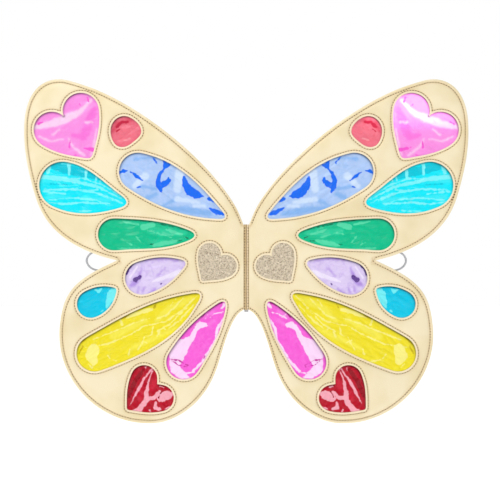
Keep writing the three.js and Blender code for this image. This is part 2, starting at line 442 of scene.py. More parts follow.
# %% Give a panel its back and its edge
def closed_panel(points, triangles, borders, front, back):
    """Vertices and faces of a piece whose face vertices lie at y = front and whose back lies at y = back."""
    edge = sum(len(b) for b in borders)
    front_side = np.stack([points[:, 0], front, points[:, 1]], axis=1)
    flat_points, flat = triangulate(borders, np.zeros((0, 2)))
    back_y = np.full(edge, back) if np.isscalar(back) else back[:edge]
    back_side = np.stack([flat_points[:, 0], back_y, flat_points[:, 1]], axis=1)
    total = len(points)
    faces = triangles.tolist() + (flat[:, ::-1] + total).tolist()
    start = 0
    for k, border in enumerate(borders):
        ring = np.arange(start, start + len(border))
        pairs = list(zip(ring.tolist(), np.roll(ring, -1).tolist()))
        if k:
            faces += [[a, b, b + total, a + total] for a, b in pairs]
        else:
            faces += [[b, a, a + total, b + total] for a, b in pairs]
        start += len(border)
    return np.vstack([front_side, back_side]), faces


def on_side(vertices, faces, side):
    """The right wing's piece as it is, or its mirror image for the left wing."""
    if side > 0:
        return vertices, faces
    return vertices * np.array([-1, 1, 1]), [list(f)[::-1] for f in faces]


sides = {"right": 1, "left": -1}

# %% [markdown]
# ## Where the seams run
# One row of thread follows every edge a few millimetres in. At the spine there is no such row, because there
# each wing is caught by the spine's own stitching, so the outline is opened along the spine before its seam
# is drawn. The seam then runs straight into the fold at both ends, as a sewn one does.

# %% Open the outline at the spine and set the seams in
window_seam, seam_step = 2.6 * mm, 0.75 * mm
spine_edge = wing_border[:, 0].min()
narrow_seam, wide_seam, seam_run = 2.2 * mm, 3.3 * mm, 60 * mm
at_spine = wing_border[:, 0] < spine_edge + 0.2 * mm
last_at_spine = int(np.flatnonzero(at_spine & ~np.roll(at_spine, -1))[0])
open_outline = np.roll(wing_border, -last_at_spine, axis=0)[: len(wing_border) - at_spine.sum() + 2]


outline_tree = search_tree(even_steps(open_outline, finder_step))
window_tree = finder(*windows.values())


def outline_inset(points):
    """How far in the outline's seam runs beside each point: little at the spine, more beyond it."""
    return narrow_seam + (wide_seam - narrow_seam) * np.clip((points[:, 0] - spine_edge) / seam_run, 0, 1)


def outline_seam_line():
    """The outline's seam from one end of the spine round to the other."""
    inset = outline_inset(open_outline)
    along = np.gradient(open_outline, axis=0)
    along /= np.linalg.norm(along, axis=1)[:, None]
    inward = np.stack([-along[:, 1], along[:, 0]], axis=1)
    moved = open_outline + inward * inset[:, None]
    keep = (distances(outline_tree, moved) > knot_clearance * inset) & (moved[:, 0] > spine_edge + 0.3 * mm)
    return even_steps(moved[keep], seam_step)


seam_lines = [(outline_seam_line(), False)]
seam_lines += [(offset_border(border, window_seam, seam_step), True) for border in windows.values()]
print("seams", len(seam_lines), "outline seam", round(len(seam_lines[0][0]) * seam_step / mm), "mm")

# %% [markdown]
# ## Relief of the sewn leatherette
# Thin wadding lies under the leatherette, so the face rolls over at the cut, stands up in a narrow lip, dips
# into the seam and swells beyond it. Cloth simulation could puff the face, but it would wash out a seam that
# is only a millimetre wide, so the section is written as a formula of the distance to the edge.


# %% Write the section of a sewn edge
roll_drop, lip_rise, groove_drop, groove_width = 0.45 * mm, 0.25 * mm, 0.45 * mm, 0.8 * mm


def sewn(depth, seam):
    """The rolled edge, lip and stitched groove at a distance from an edge, as height."""
    roll = -roll_drop * np.clip(1 - depth / mm, 0, 1) ** 2
    lip = lip_rise * np.sin(np.pi * np.clip(depth / seam, 0, 1))
    groove = -groove_drop * np.exp(-(((depth - seam) / groove_width) ** 2))
    return roll + lip + groove


def swell(depth, seam, reach=4 * mm):
    return 1 - np.exp(-np.clip(depth - seam, 0, None) / reach)


def wobble(points, size, seed):
    """Soft noise between about -1 and 1 at points, with bumps of that size."""
    return np.array([noise.noise(Vector((x / size, z / size, seed))) for x, z in points])


# %% Measure the relief of a leatherette panel
def measured(points, tree):
    """The heights and stored values of a panel's face, from its distance to the edges."""
    to_outline, to_window = distances(outline_tree, points), distances(tree, points)
    to_spine = points[:, 0] - spine_edge
    inset = outline_inset(points)
    gap = np.minimum(abs(to_outline - inset), abs(to_window - window_seam))
    return {
        "points": points,
        "section": sewn(to_outline, inset) + sewn(to_window, window_seam),
        "puff": swell(to_outline, inset) * swell(to_window, window_seam) * swell(to_spine, mm),
        "seam gap": gap,
        "edge gap": np.minimum(np.minimum(to_outline, to_spine), to_window),
        # Painted shade along each seam groove, for the leatherette's colour.
        "seam": np.exp(-gap / groove_width),
        # Painted highlight on the raised lip round each window, for the leatherette's colour.
        "lip": 0.65 * np.exp(-(((to_window - 1.1 * mm) / (0.7 * mm)) ** 2)),
    }


def leather_height(relief, puff_height, seed):
    """The relief of one face, with its own soft unevenness and small puckers beside the seams."""
    points, gap = relief["points"], relief["seam gap"]
    uneven = 0.14 * mm * wobble(points, 14 * mm, seed)
    puckers = 0.16 * mm * wobble(points, 3.2 * mm, seed + 7) * np.exp(-gap / (2.2 * mm))
    beside = np.clip(gap / groove_width, 0, 1) * np.clip(relief["edge gap"] / (1.5 * mm), 0, 1)
    return relief["section"] + (puff_height + uneven) * relief["puff"] + puckers * beside


# %% Cut the front and back panels
groove_rows = np.array([0.5, 1.2, 1.9, 2.6, 3.3, 4.0, 5.2, 7.2]) * mm
front_holes = list(windows.values())
back_holes = [windows[name] for name in window_names]
front_points, front_faces = panel(wing_border, front_holes, groove_rows, 3 * mm)
back_points, back_faces = panel(wing_border, back_holes, groove_rows, 3 * mm)
front_relief = measured(front_points, window_tree)
back_relief = measured(back_points, finder(*back_holes))
print("front panel", len(front_points), "points, back panel", len(back_points), "points")

# %% [markdown]
# ## Building materials from nodes
# Each finish is a small network: patterns go in on the left, one Principled shader comes out on the right.
# A few helpers keep the networks short. A value that is the same all over is set on the shader itself.


# %% Helpers for shader networks
def finish(name, **settings):
    """A material with one Principled shader, whose sockets are set from plain words."""
    material = bpy.data.materials.new(name)
    material.use_nodes = True
    shader = material.node_tree.nodes["Principled BSDF"]
    for word, value in settings.items():
        shader.inputs[word.replace("_", " ").title().replace("Ior", "IOR")].default_value = value
    return material, shader


def node(material, kind, inputs=(), **settings):
    """A shader node; an input is a number, a colour, or the output of another node."""
    made = material.node_tree.nodes.new(f"ShaderNode{kind}")
    for word, value in settings.items():
        setattr(made, word, value)
    for socket, value in dict(inputs).items():
        if isinstance(value, bpy.types.NodeSocket):
            material.node_tree.links.new(value, made.inputs[socket])
        else:
            made.inputs[socket].default_value = value
    return made


def wire(material, output, socket):
    material.node_tree.links.new(output, socket)


def place(material):
    """Positions on the piece itself, in metres, so that a pattern rides with it."""
    return node(material, "TexCoord").outputs["Object"]


# %% Helpers for colours and bumps
def ramp(material, factor, *stops):
    """Colours along a factor, as (position, colour) stops."""
    made = node(material, "ValToRGB", {"Fac": factor})
    points = made.color_ramp.elements
    while len(points) < len(stops):
        points.new(0.5)
    for point, (position, colour) in zip(points, stops):
        point.position = position
        point.color = colour
    return made.outputs["Color"]


def blend_colours(material, factor, first, second):
    return node(material, "Mix", {0: factor, 6: first, 7: second}, data_type="RGBA").outputs[2]


def scaled(material, value, low, high, to_low=0.0, to_high=1.0):
    """A value moved from one range to another, smoothly and without leaving it."""
    made = node(material, "MapRange", {"Value": value, "From Min": low, "From Max": high,
                                       "To Min": to_low, "To Max": to_high},
                interpolation_type="SMOOTHSTEP")
    return made.outputs["Result"]


def paint(red, green, blue):
    """A paint-chart colour, 0 to 255, as the linear colour that a shader takes."""
    linear = [((c / 255 + 0.055) / 1.055) ** 2.4 if c > 10 else c / 255 / 12.92 for c in (red, green, blue)]
    return (*linear, 1.0)


def bump(material, shader, height, strength, distance):
    made = node(material, "Bump", {"Height": height, "Strength": strength, "Distance": distance})
    wire(material, made.outputs["Normal"], shader.inputs["Normal"])


# %% [markdown]
# ## Gold leatherette
# The face is a thin embossed coating with gold pigment in it: pale and satin where it is stretched over the
# wadding, with painted shade, a darker tan, where it creases into a seam, and a painted highlight on the
# raised lip round each window. The painted shade and highlight come from values stored on the mesh, the broad
# clouding from noise, and the fine grain from small cells that also move the shine.


# %% Mix the leatherettes
def leatherette(name, pale, warm, tan, roughness):
    material, shader = finish(name, metallic=0.12, specular_ior_level=0.45)
    at = place(material)
    clouds = node(material, "TexNoise", {"Vector": at, "Scale": 22.0, "Detail": 3.0})
    cloudy = ramp(material, clouds.outputs["Fac"], (0.34, warm), (0.6, pale))
    # Painted shade: the seam value darkens the face to the tan colour in every seam groove and crease, broken
    # up by fine speckle.
    seam = node(material, "Attribute", attribute_name="seam").outputs["Fac"]
    speckle = node(material, "TexNoise", {"Vector": at, "Scale": 700.0, "Detail": 2.0})
    seam_shade = node(material, "Math", {0: seam, 1: scaled(material, speckle.outputs["Fac"], 0.3, 0.7, 0.55, 1.0)},
                operation="MULTIPLY")
    # Painted highlight: the lip value lightens the raised lip round each window to a pale cream.
    lip_highlight = node(material, "Attribute", attribute_name="lip").outputs["Fac"]
    with_lip_highlight = blend_colours(material, lip_highlight, cloudy, paint(250, 238, 216))
    wire(material, blend_colours(material, seam_shade.outputs[0], with_lip_highlight, tan), shader.inputs["Base Color"])
    grain = node(material, "TexVoronoi", {"Vector": at, "Scale": 850.0}, feature="SMOOTH_F1")
    bump(material, shader, grain.outputs["Distance"], 0.35, 0.0003)
    shine = scaled(material, clouds.outputs["Fac"], 0.3, 0.7, roughness - 0.05, roughness + 0.06)
    wire(material, shine, shader.inputs["Roughness"])
    return material


# The third colour of each leatherette is its painted seam shade.
gold = leatherette("gold_leatherette", paint(234, 221, 187), paint(226, 210, 169),
                   paint(196, 164, 114), 0.42)
backing = leatherette("back_leatherette", paint(230, 214, 186), paint(221, 203, 170),
                      paint(182, 154, 110), 0.55)
# The binding's gold is the wings' gold painted darker as shade, and its crease shade is near brown.
shaded_binding_gold = leatherette("binding_leatherette", paint(216, 192, 148), paint(202, 175, 128),
                           paint(112, 82, 44), 0.5)
print("leatherettes", gold.name, backing.name, shaded_binding_gold.name)

# %% [markdown]
# ## Thread, foam and tape
# The thread is a tan two-ply yarn, with painted shade, dark brown, where it dives into its hole. The wadding
# shows only as a thin cream line at the cut edge, and the spine's tape is a grey ribbon with a plain weave.


# %% Mix the thread, foam and tape
def thread_finish():
    material, shader = finish("tan_thread", roughness=0.6, specular_ior_level=0.3)
    ply = node(material, "TexWave", {"Vector": place(material), "Scale": 420.0, "Distortion": 1.5},
               bands_direction="DIAGONAL")
    twist = ramp(material, ply.outputs["Fac"], (0.1, paint(208, 184, 140)), (0.8, paint(240, 222, 184)))
    # Painted shade: the thread turns dark brown where it sinks into a hole, and the needle holes are dark all
    # over.
    hole_shade = node(material, "Attribute", attribute_name="hole_shade").outputs["Fac"]
    wire(material, blend_colours(material, hole_shade, twist, paint(74, 52, 26)), shader.inputs["Base Color"])
    bump(material, shader, ply.outputs["Fac"], 0.4, 0.0002)
    return material


def foam_finish():
    material, shader = finish("cream_foam", roughness=0.95, specular_ior_level=0.2)
    cells = node(material, "TexVoronoi", {"Vector": place(material), "Scale": 1400.0})
    tone = ramp(material, cells.outputs["Distance"], (0.0, paint(196, 184, 158)), (0.5, paint(232, 222, 200)))
    wire(material, tone, shader.inputs["Base Color"])
    bump(material, shader, cells.outputs["Distance"], 0.6, 0.0004)
    return material


def woven(name, dark, light, scale, direction="X"):
    """A narrow cloth whose ribs are about a thread wide."""
    material, shader = finish(name, roughness=0.75, specular_ior_level=0.25)
    at = place(material)
    ribs = node(material, "TexWave", {"Vector": at, "Scale": scale, "Distortion": 0.6, "Detail": 1.0},
                bands_direction=direction)
    fluff = node(material, "TexNoise", {"Vector": at, "Scale": 1500.0, "Detail": 2.0})
    cloth = node(material, "Math", {0: ribs.outputs["Fac"], 1: fluff.outputs["Fac"]}, operation="MULTIPLY")
    wire(material, ramp(material, cloth.outputs[0], (0.1, dark), (0.45, light)), shader.inputs["Base Color"])
    bump(material, shader, cloth.outputs[0], 0.5, 0.0003)
    return material


tan_thread = thread_finish()
cream_foam = foam_finish()
grey_tape = woven("grey_tape", paint(150, 150, 152), paint(214, 214, 216), 260.0, "Z")
grey_elastic = woven("grey_elastic", paint(150, 151, 156), paint(198, 199, 203), 520.0, "DIAGONAL")
print("small finishes", tan_thread.name, cream_foam.name, grey_tape.name, grey_elastic.name)

# %% [markdown]
# ## The sewn skins
# The front and back skins are cut to the same outline, but only the front has an opening for the glitter
# heart. The front is puffed, because the wadding pushes it forward, and the back is nearly flat. The left
# wing is the mirror image of the right, with its own small unevenness.


# %% Sew the front and back skins
def store(piece, name, values):
    """Keep a number at each of a piece's first points, and zero at the rest."""
    filled = np.zeros(len(piece.data.vertices), np.float32)
    filled[: len(values)] = values
    piece.data.attributes.new(name, "FLOAT", "POINT").data.foreach_set("value", filled)


front_skin_low, front_skin_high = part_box("right_front_skin")
back_skin_low, back_skin_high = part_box("right_back_skin")
front_level = front_skin_low.y + 0.15 * mm
back_level = back_skin_high.y - 0.1 * mm
front_puff, back_puff, back_relief_share = 0.9 * mm, 0.25 * mm, 0.7

for side, way in sides.items():
    face = front_level - leather_height(front_relief, front_puff, 3.0 + way)
    borders = [wing_border, *front_holes]
    body, faces = closed_panel(front_points, front_faces, borders, face, front_skin_high.y)
    skin = new_piece(f"{side}_puffed_front", *on_side(body, faces, way), f"{side}_wing", gold,
                     "gold_leatherette")
    store(skin, "seam", front_relief["seam"])
    store(skin, "lip", front_relief["lip"])
    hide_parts(f"{side}_front_skin")
print("front face at", round(front_level / mm, 2), "mm")

# %% Sew the backing
for side, way in sides.items():
    face = back_level + back_relief_share * leather_height(back_relief, back_puff, 23.0 + way)
    body, faces = closed_panel(back_points, back_faces, [wing_border, *back_holes], face, back_skin_low.y)
    faces = [f[::-1] for f in faces]
    skin = new_piece(f"{side}_backing", *on_side(body, faces, way), f"{side}_wing", backing,
                     "back_leatherette")
    store(skin, "seam", back_relief["seam"])
    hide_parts(f"{side}_back_skin")
print("back face at", round(back_level / mm, 2), "mm")

# %% [markdown]
# ## The wadding
# A sheet of thin foam lies between the skins and stops just short of every edge, so at the cut it shows as a
# narrow recessed line. It is the back panel with its borders drawn in, plain on both faces.

# %% Lay the wadding between the skins
recess = 0.5 * mm
core_low, core_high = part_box("right_foam_core")
core_border = offset_border(wing_border, -recess)
core_holes = [offset_border(hole, recess) for hole in back_holes]
core_points, core_faces = panel(core_border, core_holes, [], 9 * mm)
for side, way in sides.items():
    face = np.full(len(core_points), core_low.y)
    body, faces = closed_panel(core_points, core_faces, [core_border, *core_holes], face, core_high.y)
    body, faces = on_side(body, faces, way)
    core = new_piece(f"{side}_wadding", body, faces, f"{side}_wing", cream_foam, "foam")
    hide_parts(f"{side}_foam_core")
print("wadding", round((core_high.y - core_low.y) / mm, 2), "mm thick")

# %% [markdown]
# ## Stitches
# A stitch is a short bulge of thread that comes out of one hole and goes into the next. Each is a small
# capsule laid along the seam's line with its ends pushed down into the cloth, and a seam is a row of them.
# The needle's holes between the stitches are what makes a seam look dotted, so each is a small dark lens,
# painted shade that stands for the hole's shadow, and the stitch's sunk ends are painted dark as shade too.


# %% Pace out a row
stitch_pitch = 3 * mm
ring_size, ring_count = 6, 5
stitch_size = ring_size * ring_count


def paced(line, closed, pitch):
    """A line, closed if it should be, the distance along it, and how many stitches it takes."""
    run = np.vstack([line, line[:1]]) if closed else line
    along = run_along(run)
    return run, along, max(1, round(along[-1] / pitch))


def spots_on(run, along, places):
    """The points at those distances along a line."""
    return np.stack([np.interp(places, along, run[:, 0]), np.interp(places, along, run[:, 1])], axis=-1)


def repeated(one, size, count, out):
    """The faces of one small body, turned to face out and copied along a row."""
    if out > 0:
        one = [f[::-1] for f in one]
    return [[i + size * s for i in f] for s in range(count) for f in one]


# %% Lay a row of stitches
def stitch_row(line, closed, level, out, pitch=stitch_pitch, length=2.0 * mm, radius=0.4 * mm):
    """Vertices, faces and dips of a row of stitches at y = level, bulging towards out; the dips are painted
    shade, full at each stitch's sunk ends.
    """
    run, along, count = paced(line, closed, pitch)
    middles = (np.arange(count) + 0.5) * along[-1] / count
    steps = np.array([-0.5, -0.32, 0, 0.32, 0.5])
    sinks = np.array([0.34, 0.08, 0.0, 0.08, 0.34]) * mm
    sizes = np.array([0.5, 0.95, 1.0, 0.95, 0.5]) * radius
    centre = spots_on(run, along, middles[:, None] + steps * length)
    ahead = centre[:, -1] - centre[:, 0]
    ahead /= np.linalg.norm(ahead, axis=1)[:, None]
    across = np.stack([-ahead[:, 1], ahead[:, 0]], axis=1)
    turn = np.linspace(0, 2 * math.pi, ring_size, endpoint=False)
    wide = np.cos(turn)[None, None, :, None] * sizes[None, :, None, None] * across[:, None, None, :]
    high = np.sin(turn)[None, :] * sizes[:, None]
    flat = centre[:, :, None, :] + wide
    y = level - out * sinks[:, None] + out * high
    y = np.broadcast_to(y[None], flat.shape[:3])
    body = np.stack([flat[..., 0], y, flat[..., 1]], axis=3).reshape(-1, 3)
    starts = [r * ring_size for r in range(ring_count)]
    one = [[a + k, a + (k + 1) % ring_size, b + (k + 1) % ring_size, b + k]
           for a, b in zip(starts, starts[1:]) for k in range(ring_size)]
    one += [list(range(ring_size))[::-1], list(range(starts[-1], stitch_size))]
    dips = np.tile(np.repeat([1.0, 0.15, 0.0, 0.15, 1.0], ring_size), count)
    return body, repeated(one, stitch_size, count, out), dips


# %% Lay the needle's holes
hole_sides = 8


def needle_holes(line, closed, level, out, pitch=stitch_pitch, radius=0.8 * mm):
    """Vertices, faces and dips of the needle holes between a row's stitches; the dips are painted shade, full
    all over each hole.
    """
    run, along, count = paced(line, closed, pitch)
    centre = spots_on(run, along, np.arange(count) * along[-1] / count)
    turn = np.linspace(0, 2 * math.pi, hole_sides, endpoint=False)
    rim = centre[:, None] + radius * np.stack([np.cos(turn), np.sin(turn)], axis=1)
    flat = np.concatenate([rim, centre[:, None], centre[:, None]], axis=1)
    y = level + out * mm * np.array([0.04] * hole_sides + [0.16, -0.2])
    body = np.stack([flat[..., 0], np.broadcast_to(y, flat.shape[:2]), flat[..., 1]], axis=2).reshape(-1, 3)
    top, bottom = hole_sides, hole_sides + 1
    pairs = [(k, (k + 1) % hole_sides) for k in range(hole_sides)]
    one = [[a, b, top] for a, b in pairs] + [[b, a, bottom] for a, b in pairs]
    return body, repeated(one, hole_sides + 2, count, out), np.ones(len(body))


# %% Sew both faces of each wing
def sew(name, rows, body, slot, way=1):
    """One piece from several rows of stitches."""
    vertices, faces, dips, start = [], [], [], 0
    for row_vertices, row_faces, row_dips in rows:
        vertices.append(row_vertices)
        faces += [[i + start for i in f] for f in row_faces]
        dips.append(row_dips)
        start += len(row_vertices)
    points, faces = on_side(np.vstack(vertices), faces, way)
    piece = new_piece(name, points, faces, body, tan_thread, slot)
    store(piece, "hole_shade", np.concatenate(dips))
    return piece


def rows_of(lines, level, out):
    """A row of stitches and a row of holes for each seam."""
    return [make(line, closed, level, out) for line, closed in lines for make in (stitch_row, needle_holes)]


groove_level = front_level + 0.32 * mm
back_groove = back_level - 0.2 * mm
front_rows = rows_of(seam_lines, groove_level, -1)
back_rows = rows_of(seam_lines[:-1], back_groove, 1)
for side, way in sides.items():
    sew(f"{side}_front_stitching", front_rows, f"{side}_wing", "gold_leatherette", way)
    sew(f"{side}_back_stitching", back_rows, f"{side}_wing", "back_leatherette", way)
print("each wing's face has", sum(len(row[0]) for row in front_rows[::2]) // stitch_size, "stitches")

# %% [markdown]
# ## Marks on the films
# The windows hold thin coloured plastic film, stretched unevenly, so patches of it catch the light and others
# stay deep in colour. Each patch is painted in, drawn as a brush stroke: a run of points across the window,
# from -1 to 1 outward from the spine and from -1 to 1 upward, each with the stroke's half width in
# millimetres. "pale" strokes are painted reflections of the softboxes and "deep" ones the film's deepest
# colour; both have crisp edges, and "soft" ones melt into the film's own colour.

# %% Draw the strokes of the upper windows
film_strokes = {
    "pink_heart": {
        "pale": [
            [(-0.75, 0.78, 1.2), (-0.42, 0.42, 2.8), (0, 0.22, 4.6),
             (0.37, 0.08, 4.2), (0.95, -0.05, 2.2)],
            [(-0.78, 0.1, 0.8), (-0.58, 0.1, 1.1)], [(0.22, -0.12, 0.7), (0.42, -0.28, 0.7)],
            [(-0.92, -0.1, 0.8), (-0.84, -0.6, 1.2), (-0.76, -0.9, 0.8)],
            [(-0.55, -0.92, 1.2), (-0.2, -0.66, 1.2), (-0.06, -0.4, 0.5)],
            [(0.1, -0.42, 0.5), (0.5, -0.48, 0.9), (0.82, -0.34, 0.7)],
        ],
        "deep": [
            [(-0.78, -0.74, 2.4), (-0.45, -0.66, 0.2)], [(-0.11, -0.45, 0.5), (-0.1, -0.68, 1.1)],
            [(-0.62, 0.86, 0.8), (-0.68, 0.72, 0.4)], [(-0.48, 0.57, 0.3), (-0.4, 0.65, 0.6)],
            [(0.72, 0.11, 0.5), (0.86, 0.05, 0.9)], [(-0.3, -0.9, 0.6), (-0.2, -0.92, 0.3)],
        ],
        "soft": [
            [(-0.85, 0.5, 3), (-0.72, 0.2, 5), (-0.62, -0.1, 5), (-0.5, -0.35, 4), (-0.2, -0.3, 2)],
        ],
    },
    "coral_pebble": {
        "pale": [
            [(-0.3, -0.45, 0.8), (0.1, -0.55, 0.9)],
        ],
        "deep": [
            [(-0.1, 0.62, 1.2), (0.3, 0.6, 1.9), (0.62, 0.3, 1.5)], [(0.35, 0.2, 0.5), (0.6, 0, 0.8)],
        ],
        "soft": [
            [(-0.2, 0.7, 2), (0.6, 0.5, 2.5), (0.85, 0, 1.2)],
        ],
    },
    "blue_drop": {
        "pale": [
            [(-0.1, -0.1, 4), (-0.15, 0.4, 5)], [(-0.5, -0.5, 2), (-0.1, -0.4, 3)],
            [(0.5, 0.3, 4), (0.7, 0.0, 3)], [(-0.62, -0.62, 1.5), (-0.42, -0.6, 2)],
        ],
        "deep": [
            [(-0.23, 0.26, 1.6), (-0.25, 0.03, 3.6), (-0.33, -0.14, 5),
             (-0.43, -0.24, 5), (-0.52, -0.29, 3), (-0.59, -0.31, 0.6)],
            [(0.03, 0.64, 1), (0.12, 0.6, 3), (0.15, 0.78, 0.8)],
            [(0.12, 0.56, 0.8), (0.22, 0.38, 1.6), (0.27, 0.17, 2.6),
             (0.25, -0.02, 3.2), (0.2, -0.2, 0.8)],
            [(0.24, -0.04, 2.8), (0.15, 0.05, 3.2), (0.06, 0.16, 2.4), (0.07, 0.27, 0.8)],
            [(0.29, 0.7, 1), (0.37, 0.86, 0.6)],
            [(0.55, 0.16, 0.7), (0.67, 0.29, 2.2), (0.78, 0.42, 0.5)],
            [(0.85, 0.46, 0.6), (0.92, 0.45, 2), (0.99, 0.4, 1.4)],
            [(-0.78, -0.47, 1), (-0.7, -0.4, 2.2)],
            [(-0.98, -0.86, 1.2), (-0.86, -0.8, 2.4), (-0.7, -0.68, 1)],
            [(0.6, -0.02, 0.6), (0.66, -0.06, 0.7)],
        ],
        "soft": [
            [(-0.17, -0.38, 1.5), (0.05, -0.5, 2), (0.18, -0.6, 1.5)], [(0.3, -0.1, 2), (0.6, 0.0, 2)],
            [(-0.7, -0.84, 3), (-0.4, -0.76, 4), (-0.1, -0.7, 3), (0.3, -0.66, 3)],
            [(0.3, -0.25, 2), (0.45, -0.35, 3)], [(0.3, 0.85, 1), (0.7, 0.8, 1.5)],
            [(-0.3, 0.35, 1), (-0.15, 0.5, 2)],
        ],
    },
}

# %% Draw the strokes of the middle windows
film_strokes |= {
    "aqua_drop": {
        "pale": [
            [(0.76, 0.86, 1.8), (0.8, 0.6, 2.4)], [(0.31, 0.92, 2), (0.32, 0.5, 1.4)],
            [(-0.08, 0.74, 1.8), (-0.06, 0.36, 1.1)], [(-0.33, 0.52, 1.3), (-0.29, 0.26, 0.8)],
            [(-0.42, 0.4, 0.4), (-0.4, 0.24, 0.4)],
            [(-0.97, -0.5, 0.3), (-0.68, -0.26, 0.8), (-0.39, 0, 1.1),
             (0, 0.15, 1.5), (0.45, 0.34, 2.2), (0.95, 0.42, 2.4)],
            [(-0.9, -0.6, 0.6), (-0.54, -0.34, 0.9), (-0.15, -0.12, 0.9), (0.3, -0.06, 0.7)],
            [(-0.6, -0.62, 0.6), (0.05, -0.58, 0.9), (0.45, -0.64, 0.9), (0.85, -0.56, 0.6)],
            [(0.4, -0.25, 0.5), (0.9, -0.15, 0.9)],
            [(0.05, 0.0, 0.3), (0.4, -0.1, 0.6), (0.86, -0.04, 0.4)],
            [(-0.98, -0.25, 1.4), (-0.86, -0.4, 0.6)], [(-0.2, -0.9, 0.7), (0.3, -0.93, 0.5)],
            [(0.6, 0.28, 0.6), (0, 0.36, 0.8), (-0.45, 0.1, 0.8), (-0.85, -0.28, 0.5)],
            [(0.88, -0.1, 0.6), (0.3, -0.05, 0.8), (-0.28, -0.2, 0.8), (-0.72, -0.52, 0.5)],
            [(0.78, -0.48, 0.6), (0.2, -0.4, 0.8), (-0.28, -0.48, 0.7), (-0.56, -0.66, 0.4)],
            [(0, 0.2, 0.6), (-0.28, 0.1, 0.7), (-0.34, -0.08, 0.6), (-0.06, -0.14, 0.5)],
        ],
        "deep": [
            [(-0.7, 0.08, 1), (-0.45, 0.34, 2.6), (-0.12, 0.52, 4),
             (0.25, 0.66, 5), (0.54, 0.76, 4.6), (0.78, 0.84, 2.4)],
            [(0.35, 0.1, 0.5), (0.75, 0.14, 0.7)], [(-0.75, -0.5, 0.3), (-0.3, -0.25, 0.4)],
        ],
        "soft": [
            [(0.3, 0.3, 2), (0.9, 0.3, 4)], [(-0.6, -0.5, 2), (0, -0.4, 2)],
            [(0.3, -0.4, 2), (0.8, -0.35, 3)],
        ],
    },
    "green_drop": {
        "pale": [
            [(-0.14, 0.62, 2.6), (0.06, 0.46, 3.2)],
            [(0.16, 0.62, 0.8), (0.4, 0.74, 1.4), (0.5, 0.84, 0.4)],
            [(0.1, -0.52, 0.6), (0.2, -0.16, 1)],
            [(-0.74, 0.0, 1.2), (-0.52, 0.18, 1.6), (-0.42, 0.3, 0.6)],
            [(-0.52, -0.2, 0.4), (-0.3, 0.0, 0.6), (-0.1, 0.22, 0.4)],
            [(0.3, -0.66, 0.8), (0.4, -0.5, 0.6)],
            [(-0.62, -0.4, 1.6), (-0.34, -0.58, 2.8), (-0.14, -0.72, 1.2)],
            [(-0.05, -0.9, 0.8), (0.25, -0.93, 0.9), (0.6, -0.86, 0.5)],
            [(-0.25, 0.1, 0.3), (-0.05, 0.0, 0.5)],
        ],
        "deep": [
            [(-0.88, 0.25, 0.4), (-0.5, 0.5, 0.5), (-0.1, 0.78, 0.5), (0.4, 0.95, 0.5)],
            [(-0.86, -0.26, 0.7), (-0.78, -0.12, 0.3)], [(-0.74, -0.4, 0.8), (-0.6, -0.46, 0.6)],
            [(-0.2, -0.66, 0.9), (-0.08, -0.62, 0.5)],
        ],
        "soft": [
            [(-0.8, 0.1, 2.5), (-0.4, 0.1, 4), (-0.1, 0.2, 3)], [(-0.5, -0.5, 2), (-0.2, -0.5, 3)],
        ],
    },
    "lilac_drop": {
        "pale": [
            [(-0.8, 0.2, 3), (-0.3, -0.1, 2.2), (0.1, -0.3, 1)], [(0.6, 0.5, 0.6), (0.85, -0.1, 1.2)],
        ],
        "deep": [
            [(0.5, -0.02, 1.8), (0.66, -0.22, 2.2)],
            [(0.74, 0.64, 0.8), (0.88, 0.42, 1.3), (0.97, 0.1, 1.6)],
            [(-0.21, -0.36, 0.2), (-0.18, -0.42, 0.8)], [(-0.3, 0.9, 0.3), (-0.29, 0.82, 0.3)],
        ],
        "soft": [
            [(-0.75, 0.8, 1), (-0.2, 0.95, 1.4), (0.4, 0.85, 1)], [(-0.32, 0.42, 0.3), (-0.06, 0, 1)],
            [(0.44, 0.45, 0.8), (0.54, -0.05, 2.6), (0.7, -0.4, 2.6), (0.82, -0.5, 1.6)],
            [(0.02, -0.7, 1.2), (0.2, -0.95, 1.4)], [(0.36, -0.62, 0.5), (0.43, -0.88, 0.6)],
            [(0.56, -0.58, 0.6), (0.6, -0.86, 0.8)],
        ],
    },
}

